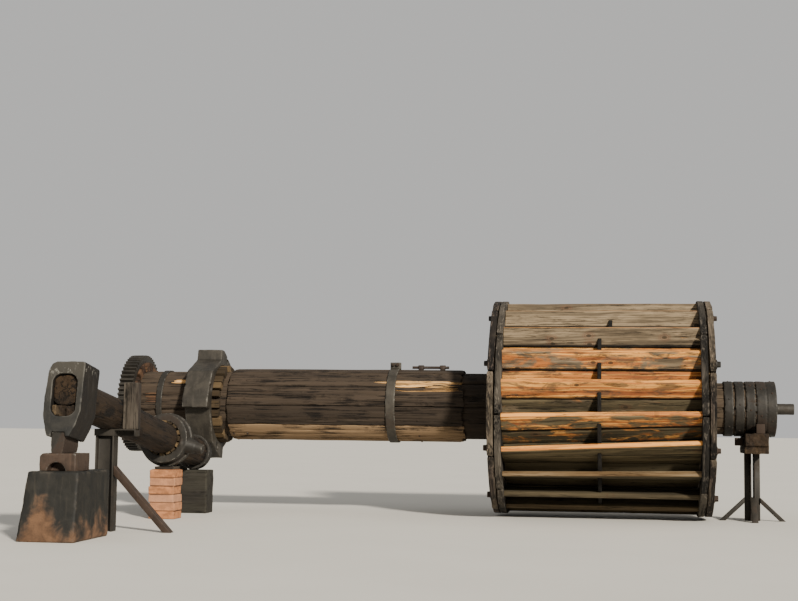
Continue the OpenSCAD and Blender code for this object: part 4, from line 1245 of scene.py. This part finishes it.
class WHEEL_OT_floats(PieceOperator, bpy.types.Operator):
    """Boards of the floats, two to a float"""
    bl_idname = "wheel.floats"
    bl_label = "Float boards"

    # How fresh and how wet the boards are that differ from the rest, outer board first. The wetness is
    # also painted shade: the low front boards, at 1 and more, are painted wholly dark as shaded.
    looks = {0: (0.72, 0.52), 1: (0.66, 0.56), 2: (1.0, 0.8), 3: (0.3, 0.8), 4: (0.2, 1.0),
             5: (0.1, 1.1), 6: (0.0, 1.4), 7: (0.0, 1.5), 8: (0.1, 1.3), 9: (0.0, 1.5),
             10: (0.0, 1.4), 11: (0.0, 1.5),
             32: (0.2, 0.0), 33: (0.1, 0.1), 34: (0.15, 0.0), 35: (0.2, 0.1), 36: (0.3, 0.25),
             37: (0.6, 0.2), 38: (0.5, 0.25), 39: (0.85, 0.2), 40: (1.0, 0.0), 41: (0.5, 0.6)}
    other_looks = ((0.3, 0.4), (0.15, 0.55), (0.45, 0.3), (0.25, 0.7), (0.1, 0.3))

    def build(self, context):
        sizes = context.scene.wheel_sizes
        lip_r, sole_r = WHEEL_R - sizes.lip_back, WHEEL_R - sizes.rim_depth
        back = Vector((sole_r * math.cos(sizes.float_run) - lip_r, sole_r * math.sin(sizes.float_run)))
        obj = grow("float_boards", float_tree(), "Float boards", {
            "Floats": sizes.float_count, "First": sizes.first_float, "Length": 2 * WHEEL_IN - SLACK,
            "Lip radius": lip_r, "Slope length": back.length,
            "Slope": math.atan2(back.y, -back.x), "Thickness": sizes.float_t,
            "Gap": sizes.board_gap / 2, "Middle": WHEEL})
        mesh = obj.data
        self.slip(mesh, sizes)
        turn_outwards(mesh, 45)
        others = self.other_looks
        looks = np.array([self.looks.get(i, others[i * 3 % len(others)])
                          for i in range(2 * sizes.float_count)])
        numbers = np.round(get_values(mesh, "board")).astype(int)
        set_values(mesh, "fresh", looks[numbers, 0])
        set_values(mesh, "wet", looks[numbers, 1])
        set_values(mesh, "edge", curvature(mesh))
        dress(obj, ROTOR, "Float boards", ["floats"])

    def slip(self, mesh, sizes):
        """The floats low on the front lie a little higher at the right rim than at the left."""
        points = coordinates(mesh)
        y, z = points[:, 1] - SHAFT_Y, points[:, 2] - SHAFT_Z
        turn, radius = np.arctan2(z, y) % (2 * math.pi), np.hypot(y, z)
        share = np.exp(-((turn - sizes.lean_at) / sizes.lean_spread) ** 2)
        turn -= sizes.lean * share * (points[:, 0] - WHEEL.x)
        moved = about_shaft(points[:, 0], turn, radius)
        mesh.vertices.foreach_set("co", moved.ravel())


class WHEEL_OT_rims(PieceOperator, bpy.types.Operator):
    """Felloes of both rims with the packing between their layers"""
    bl_idname = "wheel.rims"
    bl_label = "Rims"

    packing_strips = 24
    uneven = 0.012
    warp = 0.004

    def felloes(self, stack, side, x_mid, turn, seed, sizes):
        """One layer of felloes; their grain follows the ring."""
        middle_r = WHEEL_R - sizes.rim_depth / 2
        span = 2 * math.pi / sizes.felloe_count
        for i in range(sizes.felloe_count):
            place = round_shaft(x_mid, turn + i * span, middle_r,
                                self.warp * math.sin(i * 5.1 + seed))

            def curve(u, v, w, i=i):
                a, r = u / middle_r, middle_r + v
                return np.stack([r * np.sin(a) + seed + i * 2.3, r * np.cos(a), w + i * 0.4], -1)

            add_board(stack, place, (middle_r * span - sizes.board_gap, sizes.rim_depth, sizes.felloe_t),
                      seed + i * 7.7, 0.3 + 0.5 * chance(seed, i, side, 1), along=30,
                      across=11, checks=5, ragged=(0.002, 0.002), corner=0.004, curve=curve)

    def packing(self, stack, side, x_mid, sizes):
        """Thin strips between the two layers of a rim."""
        depth = sizes.rim_depth - sizes.packing_back
        middle_r = WHEEL_R - sizes.rim_depth + depth / 2
        arc = middle_r * 2 * math.pi / self.packing_strips
        for i in range(self.packing_strips):
            size = (arc - SLACK, depth - self.uneven * chance(3.0, i, 1, side), sizes.packing_t)
            add_board(stack, round_shaft(x_mid, i * arc / middle_r, middle_r), size,
                      i * 3.1 + side, chance(1.0, i, 2, side), along=8, across=4, wear=0.4,
                      corner=0.002)

    def build(self, context):
        sizes = context.scene.wheel_sizes
        outer, inner, packing = Stack(), Stack(), Stack()
        half_step = math.pi / sizes.felloe_count
        for side in (-1, 1):
            face = WHEEL.x + side * WHEEL_HALF
            self.felloes(outer, side, face - side * sizes.felloe_t / 2, sizes.first_float,
                         11.0 + side, sizes)
            self.felloes(inner, side, WHEEL.x + side * (WHEEL_IN + sizes.felloe_t / 2),
                         sizes.first_float + half_step, 31.0 + side, sizes)
            self.packing(packing, side, face - side * (sizes.felloe_t + sizes.packing_t / 2), sizes)
        for name, stack, look, slot, node in (
                ("rim_outer_felloes", outer, "Outer rim wood", "rim_wood", "rim_outer"),
                ("rim_inner_felloes", inner, "Inner rim wood", "rim_inner_wood", "rim_inner"),
                ("rim_packing_strips", packing, "Packing wood", "packing_wood",
                 "rim_packing")):
            dress(stack_object(name, stack), ROTOR, look, [node])


class WHEEL_OT_wheel_timber(PieceOperator, bpy.types.Operator):
    """Brackets in the buckets, sole boards and arms"""
    bl_idname = "wheel.wheel_timber"
    bl_label = "Brackets, sole and arms"
    pieces = (
        Piece("bracket_blocks", "bucket_brackets", "Bracket wood", "bracket_wood", 0.004,
              grain=(2, 1, 0)),
        Piece("arms_across_timber", "arms_across", "Arm wood", "arm_wood", 0.006,
              grain=(1, 2, 0)),
        Piece("arms_upright_timber", "arms_upright", "Arm wood", "arm_wood", 0.006,
              grain=(2, 0, 1)))

    def build(self, context):
        brackets, *arms = self.pieces
        take_over(brackets, ROTOR)
        self.sole(context.scene.wheel_sizes)
        for arm in arms:
            take_over(arm, ROTOR)

    def sole(self, sizes):
        """Boards that close the buckets on the inside."""
        stack = Stack()
        middle_r = WHEEL_R - sizes.rim_depth - sizes.sole_t / 2 - 0.001
        step = 2 * math.pi / sizes.float_count
        size = (2 * (WHEEL_IN - SLACK), middle_r * step - sizes.board_gap, sizes.sole_t)
        for i in range(sizes.float_count):
            place = along_shaft(WHEEL.x, sizes.first_float + (i + 0.5) * step, middle_r)
            add_board(stack, place, size, 50.0 + i, 0.2 + 0.15 * (i * 7 % 5), along=24,
                      across=10, wear=0.6, checks=1)
        dress(stack_object("sole_planks", stack), ROTOR, "Sole wood",
              ["sole_boards"])


class WHEEL_OT_log(PieceOperator, bpy.types.Operator):
    """The shaft's log with its open checks, and the neck"""
    bl_idname = "wheel.log"
    bl_label = "Shaft log"

    # Angle, begin, end, depth and half width of each check
    checks = ((3.4, 0.0, 1.3, 0.03, 0.012), (3.9, 0.2, 1.0, 0.022, 0.01),
              (2.9, 0.1, 0.9, 0.02, 0.012), (2.4, 0.0, 6.2, 0.03, 0.012),
              (1.2, 1.0, 5.8, 0.03, 0.014), (5.2, 0.0, 4.2, 0.03, 0.014),
              (0.2, 0.4, 3.2, 0.025, 0.012), (3.2, 3.4, 4.3, 0.02, 0.01))
    neck_checks = tuple((0.4 + i * 0.9, -0.2, 0.9, 0.02, 0.009) for i in range(7))
    neck_sunk = 0.02

    def build(self, context):
        x_left, x_right = reach("shaft_log", 0)
        x_face = WHEEL.x + WHEEL_HALF
        x_neck = x_face - self.neck_sunk
        stack = Stack()
        add_log(stack, x_left, (x_face - x_left, LOG_R - SLACK / 2), seed=2.0, along=150,
                around=144, checks=self.checks, tone=0.45, rough=0.005, ends=(0.012, 0.0))
        add_log(stack, x_neck, (x_right - x_neck, NECK_R), seed=5.0, along=24, around=120,
                checks=self.neck_checks, tone=0.65, rough=0.0035, ends=(0.0, 0.008))
        timber = stack_object("shaft_timber", stack, 50)
        # Painted shade on the log beside the wheel
        self.paint_shade_on_log_end(timber.data)
        dress(timber, ROTOR, "Log wood", ["shaft_log"])
        by_gear, by_cams = HELVE_X - 0.42, HELVE_X - 0.14
        rot = torn_wood("rotten_slivers", 9, by_gear, 2.86, LOG_R, 0.24, 4)
        dress(rot, ROTOR, "Rotten wedges")
        pale = torn_wood("pale_slivers", 5, by_cams, 2.34, LOG_R, 0.24, 3)
        dress(pale, ROTOR, "Split wood")

    def paint_shade_on_log_end(self, mesh):
        """Painted shade: the bare log between the cladding and the wheel is darkened, as it lies deep in
        the wheel's shade.
        """
        x, fade = coordinates(mesh)[:, 0], 0.1
        wet = np.clip((x - reach("shaft_cladding", 0)[1]) / fade + 0.5, 0, 1)
        wet = wet * (x < WHEEL.x + WHEEL_HALF - fade)
        set_values(mesh, "tone", get_values(mesh, "tone") * (1 - wet))


class WHEEL_OT_cladding(PieceOperator, bpy.types.Operator):
    """Cladding staves with a broken right end, and the loose slivers on it"""
    bl_idname = "wheel.cladding"
    bl_label = "Shaft cladding"

    tones = (0.35, 0.4, 0.38, 0.36, 0.4, 0.36, 0.1, 0.85, 0.75, 0.3, 0.38)
    # How much shorter than the longest stave the shortest may be
    shortest = 0.05

    def build(self, context):
        sizes = context.scene.wheel_shaft
        x_left, x_right = reach("shaft_cladding", 0)
        middle_r = CLAD_R - sizes.stave_t / 2
        step = 2 * math.pi / sizes.stave_count
        stack = Stack()
        for i in range(sizes.stave_count):
            at = sizes.first_stave + i * step
            short = self.shortest * chance(2.0, i, 4, 2)

            def curve(u, v, w, at=at, i=i):
                r, turn = middle_r + w, at + v / middle_r
                return np.stack([u + i * 3.3, r * np.cos(turn), r * np.sin(turn)], -1)

            place = along_shaft((x_left + x_right - short) / 2, at, middle_r)
            size = (x_right - x_left - short, middle_r * step - 2 * SLACK, sizes.stave_t)
            add_board(stack, place, size, 70.0 + i * 3, self.tones[i % len(self.tones)],
                      along=64, across=14, wear=1.1, checks=7, ragged=(0.015, 0.025),
                      corner=0.006, curve=curve)
        dress(stack_object("cladding_staves", stack), ROTOR, "Cladding wood",
              ["shaft_cladding"])
        slivers = torn_wood("split_slivers", 11, x_right - 0.02, 2.43, CLAD_R, 0.97, 140)
        dress(slivers, ROTOR, "Split wood")


class WHEEL_OT_shaft_irons(PieceOperator, bpy.types.Operator):
    """Strap, tie rod, band, hoops, keys and gudgeons of the shaft"""
    bl_idname = "wheel.shaft_irons"
    bl_label = "Shaft irons"
    body = ROTOR
    pieces = (
        Piece("strap_forging", "strap_hoop", "Strap iron", "strap_iron",
              wear=Wear(0.006, 2, 0.0012, 0.06, 0.0004, 3)),
        Piece("strap_bolt_heads", "strap_bolts", "Bolt iron", "bolt_iron"),
        Piece("tie_rod_forging", "tie_rod", "Rod iron", "rod_iron"),
        Piece("thin_band", "left_band", "Band iron", "band_iron",
              wear=Wear(0.006, 2, 0.0012, 0.05, 0.0003, 6)),
        Piece("neck_hoop_forgings", "neck_hoops", "Hoop iron", "hoop_iron",
              wear=Wear(0.007, 2, 0.0018, 0.05, 0.0006, 8)),
        Piece("neck_key_wedges", "neck_keys", "Pale keys", "key_wood", 0.002, 1, tone=0.4),
        Piece("gudgeon_forgings", "gudgeons", "Gudgeon iron", "gudgeon_iron",
              wear=Wear(0.005, 3, 0.0012, 0.03, 0.0005, 12)))


class WHEEL_OT_cam_ring(PieceOperator, bpy.types.Operator):
    """The casting that carries the cams"""
    bl_idname = "wheel.cam_ring"
    bl_label = "Cam ring"
    body = ROTOR
    pieces = (Piece("cam_casting", "cam_ring", "Cam casting", "cam_iron",
                    wear=Wear(0.009, 4, 0.003, 0.09, 0.0008, 15)),)


class WHEEL_OT_ring_gear(PieceOperator, bpy.types.Operator):
    """The ring gear at the shaft's left end"""
    bl_idname = "wheel.ring_gear"
    bl_label = "Ring gear"

    # How far below the tips of the teeth their roots and the bore lie
    root_below, bore_below = 0.034, 0.082

    def build(self, context):
        low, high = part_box("spur_gear")
        tip = (high.z - low.z) / 2
        obj = grow("gear_casting", gear_tree(), "Gear casting", {
            "Teeth": context.scene.wheel_shaft.gear_teeth, "Tip radius": tip - SLACK,
            "Root radius": tip - self.root_below, "Bore radius": tip - self.bore_below,
            "Width": high.x - low.x - SLACK,
            "Middle": Vector((middle("spur_gear").x, SHAFT_Y, SHAFT_Z))})
        turn_outwards(obj.data, 35)
        dress(obj, ROTOR, "Gear casting", ["spur_gear"])


class WHEEL_OT_wedges(PieceOperator, bpy.types.Operator):
    """Wedges driven into the cam ring, the ring gear and the hurst ring"""
    bl_idname = "wheel.wedges"
    bl_label = "Driven wedges"

    # How much of the ring the wedges fill, and how much shorter than their node they are
    filled, shorter = 0.9, 0.02

    def ring(self, name, node, body, look, slot, values, place):
        """One ring of wedges, put in its place."""
        obj = grow(name, self.tree, look, values)
        obj.data.transform(place)
        turn_outwards(obj.data, 40)
        dress(obj, body, look, [node])

    def build(self, context):
        self.tree = wedge_tree()
        sizes = context.scene.wheel_shaft
        for name, node, look, slot, count, bore in (
                ("cam_ring_wedges", "cam_wedges", "Wedge wood", "wedge_wood", sizes.cam_wedges,
                 sizes.cam_bore),
                ("gear_ring_wedges", "gear_wedges", "Rotten wedges", "gear_wedge_wood",
                 sizes.gear_wedges, sizes.gear_bore)):
            left, right = reach(node, 0)
            radius = (LOG_R + bore) / 2
            self.ring(name, node, ROTOR, look, slot, {
                "Count": count, "Radius": radius, "Length": right - left - self.shorter,
                "Depth": bore - LOG_R - 2 * SLACK, "Stagger": 0.008, "Seed": count,
                "Width": 2 * math.pi * radius / count * self.filled},
                Matrix.Translation(((left + right) / 2, SHAFT_Y, SHAFT_Z)))
        self.ring("hurst_ring_wedges", "hurst_wedges", STANDS, "Wedge wood",
                  "hurst_wedge_wood", {
                      "Count": sizes.hurst_wedges, "Radius": 0.16, "Length": 0.168,
                      "Depth": 0.019, "Width": 0.052, "Stagger": 0.006, "Seed": 3},
                  helve_matrix() @ Matrix.Translation((0.0, -0.006, 0.0))
                  @ Matrix.Rotation(math.pi / 2, 4, "Z"))


class WHEEL_OT_heads(PieceOperator, bpy.types.Operator):
    """Bolts of the rims and nails in the boards"""
    bl_idname = "wheel.heads"
    bl_label = "Bolts and nails"

    hoops, hoop_pitch, nails_in_hoop = 5, 0.106, 6
    # How far inside the first hoop's edge its nails sit
    inside_hoop = 0.045
    # Turns from nail to nail in a hoop, from hoop to hoop, and of the very first nail
    nail_turn, hoop_turn, first_turn = 1.05, 0.2, 0.7
    # How far a stave's nails are turned from its middle
    off_stave = 0.1
    # Places of a stave's nails from its left end, and of the last one from its right end
    from_left, from_right = (0.05, 0.2), 0.5

    def heads(self, name, places, sides, sizes, sharp, replaced):
        """Heads on points; sizes are radius, top radius and height, then the washer's."""
        labels = ("Radius", "Top radius", "Height", "Washer radius", "Washer height")
        obj = grow(name, heads_tree(), "Bolt iron", {"Sides": sides, **dict(zip(labels, sizes))},
                   aimed_points(name + "_points", places))
        turn_outwards(obj.data, sharp)
        dress(obj, ROTOR, "Bolt iron", replaced)

    def build(self, context):
        sizes, shaft = context.scene.wheel_sizes, context.scene.wheel_shaft
        off_middle = math.asin(sizes.bolt_side / sizes.bolt_circle)
        bolts = []
        for side in (-1, 1):
            for i in range(4):
                for sign in (-1, 1):
                    spot, _ = on_shaft(WHEEL.x + side * WHEEL_HALF,
                                       math.pi / 2 * i + sign * off_middle, sizes.bolt_circle)
                    bolts.append((spot, (side, 0, 0)))
        self.heads("rim_bolt_heads", bolts, 6, (0.029, 0.026, 0.032, 0.045, 0.01), 30,
                   ["rim_bolts"])
        first_hoop = reach("neck_hoops", 0)[0] + self.inside_hoop
        nails = [on_shaft(first_hoop + i * self.hoop_pitch,
                          self.first_turn + k * self.nail_turn + i * self.hoop_turn,
                          NECK_R + HOOP_T)
                 for i in range(self.hoops) for k in range(self.nails_in_hoop)]
        left, right = reach("shaft_cladding", 0)
        places = [left + x for x in self.from_left] + [right - self.from_right]
        for i in range(shaft.stave_count):
            turn = shaft.first_stave + i * 2 * math.pi / shaft.stave_count + self.off_stave
            nails += [on_shaft(x, turn, CLAD_R - SLACK) for x in places]
        self.heads("shaft_nails", nails, 7, (0.011, 0.007, 0.006, 0.012, 0.001), None, ())


class WHEEL_OT_stands(PieceOperator, bpy.types.Operator):
    """Iron posts, their braces, the timber saddles and the chocks"""
    bl_idname = "wheel.stands"
    bl_label = "Stands"
    pieces = (
        Piece("stand_channels", "stand_posts", "Stand iron", "stand_iron"),
        Piece("stand_rakers", "stand_braces", "Stand iron", "stand_iron"),
        Piece("saddle_timbers", "saddles", "Saddle timber", "saddle_wood",
              wear=Wear(0.008, 2, 0.004, 0.04, 0.001, 21, True), grain=(1, 0, 2)),
        Piece("saddle_chock_blocks", "saddle_chocks", "Chock iron", "chock_iron", 0.005))


class WHEEL_OT_helve(PieceOperator, bpy.types.Operator):
    """The helve log between the head and the tail hoop"""
    bl_idname = "wheel.helve"
    bl_label = "Helve"
    pieces = (Piece("helve_timber", "helve", "Helve wood", "helve_wood",
                    wear=Wear(0.008, 3, 0.006, 0.05, 0.0012, 24, True)),)

    def build(self, context):
        take_over(self.pieces[0], STANDS, np.array(helve_matrix().to_3x3())[:, [1, 0, 2]])


class WHEEL_OT_hammer(PieceOperator, bpy.types.Operator):
    """Hammer head, its bit and the wedges in its eye"""
    bl_idname = "wheel.hammer"
    bl_label = "Hammer head"
    pieces = (
        Piece("hammer_casting", "hammer_head", "Hammer casting", "head_iron",
              wear=Wear(0.006, 4, 0.0025, 0.06, 0.0007, 27)),
        Piece("hammer_bit_block", "hammer_bit", "Bit steel", "bit_iron",
              wear=Wear(0.005, 3, 0.0015, 0.04, 0.0005, 28)),
        Piece("eye_wedge_rot", "eye_wedges", "Eye wedges", "eye_wood",
              wear=Wear(0.005, 2, 0.006, 0.02, 0.002, 29), grain=(1, 0, 2)))


class WHEEL_OT_hurst(PieceOperator, bpy.types.Operator):
    """Hurst ring with its trunnions, and the tail hoop"""
    bl_idname = "wheel.hurst"
    bl_label = "Hurst ring and tail hoop"
    pieces = (
        Piece("hurst_casting", "hurst_ring", "Hurst casting", "hurst_iron",
              wear=Wear(0.006, 4, 0.002, 0.06, 0.0007, 31)),
        Piece("tail_hoop_forging", "tail_hoop", "Tail hoop iron", "tail_iron",
              wear=Wear(0.005, 3, 0.0015, 0.05, 0.0004, 33)))


class WHEEL_OT_anvil(PieceOperator, bpy.types.Operator):
    """Anvil and the block under it"""
    bl_idname = "wheel.anvil"
    bl_label = "Anvil"
    pieces = (
        Piece("anvil_casting", "anvil", "Anvil iron", "anvil_iron",
              wear=Wear(0.006, 4, 0.002, 0.05, 0.0006, 35)),
        Piece("anvil_block_casting", "anvil_block", "Anvil block", "block_iron",
              wear=Wear(0.012, 5, 0.004, 0.14, 0.001, 37)))


class WHEEL_OT_helve_stand(PieceOperator, bpy.types.Operator):
    """Stand beside the helve: post, bar, guide and brace"""
    bl_idname = "wheel.helve_stand"
    bl_label = "Helve stand"
    pieces = (
        Piece("helve_post_channel", "helve_stand_post", "Stand iron", "stand_iron"),
        Piece("helve_bar_plate", "helve_stand_bar", "Stand iron", "stand_iron"),
        Piece("helve_brace_strips", "helve_brace", "Brace iron", "brace_iron"),
        Piece("helve_guide_plank", "helve_guide", "Guide wood", "guide_wood",
              wear=Wear(0.005, 2, 0.003, 0.03, 0.0008, 41, True), grain=(2, 1, 0)))


class WHEEL_OT_rests(PieceOperator, bpy.types.Operator):
    """Bricks, shim and tail block"""
    bl_idname = "wheel.rests"
    bl_label = "Bricks and blocks"
    pieces = (
        Piece("brick_shim_board", "brick_shim", "Shim wood", "shim_wood"),
        Piece("tail_block_timber", "tail_block", "Tail block timber", "tail_block_wood",
              wear=Wear(0.008, 3, 0.004, 0.05, 0.001, 45, True)))
    courses = 6
    half_joint = 0.005

    def build(self, context):
        bricks = worn_copy("brick_courses", "brick_pile", Wear(0.005, 2, 0.002, 0.03, 0.001, 43))
        low, high = reach("brick_pile", 2)
        course = (high - low) / self.courses
        height = (coordinates(bricks.data)[:, 2] - low) / course
        set_values(bricks.data, "tone", np.mod(np.floor(height + 0.02) * 0.37 + 0.2, 1.0))
        from_joint = np.abs(height - np.round(height)) * course
        set_values(bricks.data, "seam", np.clip(1.4 - from_joint / self.half_joint, 0, 1))
        dress(bricks, STANDS, "Bricks", ["brick_pile"])
        super().build(context)


class WHEEL_OT_stage(PieceOperator, bpy.types.Operator):
    """Floor, soft studio light and the camera"""
    bl_idname = "wheel.stage"
    bl_label = "Stage"

    sky, sky_strength = (0.93, 0.92, 0.9, 1.0), 0.6
    sun, sun_strength, sun_width = (1.0, 0.93, 0.82), 7.4, math.radians(5)
    sun_way = Vector((-0.52, 0.74, -0.42))
    floor_half, farthest_seen = 90, 500.0

    def build(self, context):
        self.floor(context.scene.wheel_iron.floor)
        world = bpy.data.worlds.new("Studio")
        context.scene.world = world
        world.use_nodes = True
        back = world.node_tree.nodes["Background"]
        back.inputs["Color"].default_value = self.sky
        back.inputs["Strength"].default_value = self.sky_strength
        key = bpy.data.lights.new("key", "SUN")
        key.energy, key.angle, key.color = self.sun_strength, self.sun_width, self.sun
        light = new_object("key_light", key)
        light.rotation_euler = self.sun_way.to_track_quat("-Z", "Y").to_euler()
        self.camera(context)

    def floor(self, shade):
        """A plain pale floor."""
        mesh = bpy.data.meshes.new("studio_floor")
        bm = bmesh.new()
        bmesh.ops.create_grid(bm, x_segments=4, y_segments=4, size=self.floor_half)
        bm.to_mesh(mesh)
        bm.free()
        material, graph = new_finish("Studio floor")
        cloud = graph.noise(graph.place(), 0.7, 2.0)
        paint = graph.blend(cloud.ramp(0.3, 0.7), tint(shade, 0.97), shade)
        close_finish(graph, paint, 0.9, cloud, 0.0, 0.0, 0.1)
        mesh.materials.append(material)
        new_object("studio_floor", mesh)

    def camera(self, context):
        place = context.scene.wheel_camera
        data = bpy.data.cameras.new("camera")
        data.sensor_width, data.lens = 36.0, place.lens
        data.clip_end = self.farthest_seen
        camera = new_object("camera", data)
        forward = Vector((-math.sin(place.yaw) * math.cos(place.pitch),
                          math.cos(place.yaw) * math.cos(place.pitch), math.sin(place.pitch)))
        right = Vector((math.cos(place.yaw), math.sin(place.yaw), 0.0))
        up = right.cross(forward)
        rolled_right = right * math.cos(place.roll) + up * math.sin(place.roll)
        rolled_up = up * math.cos(place.roll) - right * math.sin(place.roll)
        turn = Matrix((rolled_right, rolled_up, -forward)).transposed()
        camera.matrix_world = Matrix.Translation((place.x, place.y, place.z)) @ turn.to_4x4()
        context.scene.camera = camera


OPERATORS = (
    WHEEL_OT_floats, WHEEL_OT_rims, WHEEL_OT_wheel_timber, WHEEL_OT_log, WHEEL_OT_cladding,
    WHEEL_OT_shaft_irons, WHEEL_OT_cam_ring, WHEEL_OT_ring_gear, WHEEL_OT_wedges,
    WHEEL_OT_heads, WHEEL_OT_stands, WHEEL_OT_helve, WHEEL_OT_hammer, WHEEL_OT_hurst,
    WHEEL_OT_anvil, WHEEL_OT_helve_stand, WHEEL_OT_rests, WHEEL_OT_stage)
GROUPS = {"wheel_sizes": WheelSizes, "wheel_shaft": ShaftSizes, "wheel_wood": WoodColours,
          "wheel_iron": IronColours, "wheel_camera": CameraPlace}


class WHEEL_PT_panel(bpy.types.Panel):
    """Lists the pieces of the water wheel"""
    bl_label = "Water wheel"
    bl_idname = "WHEEL_PT_panel"
    bl_space_type = "VIEW_3D"
    bl_region_type = "UI"
    bl_category = "Water wheel"

    def draw(self, context):
        for operator in OPERATORS:
            self.layout.operator(operator.bl_idname)
        for key, group in GROUPS.items():
            box = self.layout.box()
            box.label(text=group.__doc__)
            for name in group.__annotations__:
                box.prop(getattr(context.scene, key), name)


def register():
    for cls in (*GROUPS.values(), *OPERATORS, WHEEL_PT_panel):
        bpy.utils.register_class(cls)
    for key, group in GROUPS.items():
        setattr(bpy.types.Scene, key, PointerProperty(type=group))


def unregister():
    for key in GROUPS:
        delattr(bpy.types.Scene, key)
    for cls in reversed((*GROUPS.values(), *OPERATORS, WHEEL_PT_panel)):
        bpy.utils.unregister_class(cls)


def main():
    register()
    for operator in OPERATORS:
        group, name = operator.bl_idname.split(".")
        getattr(getattr(bpy.ops, group), name)()


if __name__ == "__main__":
    main()
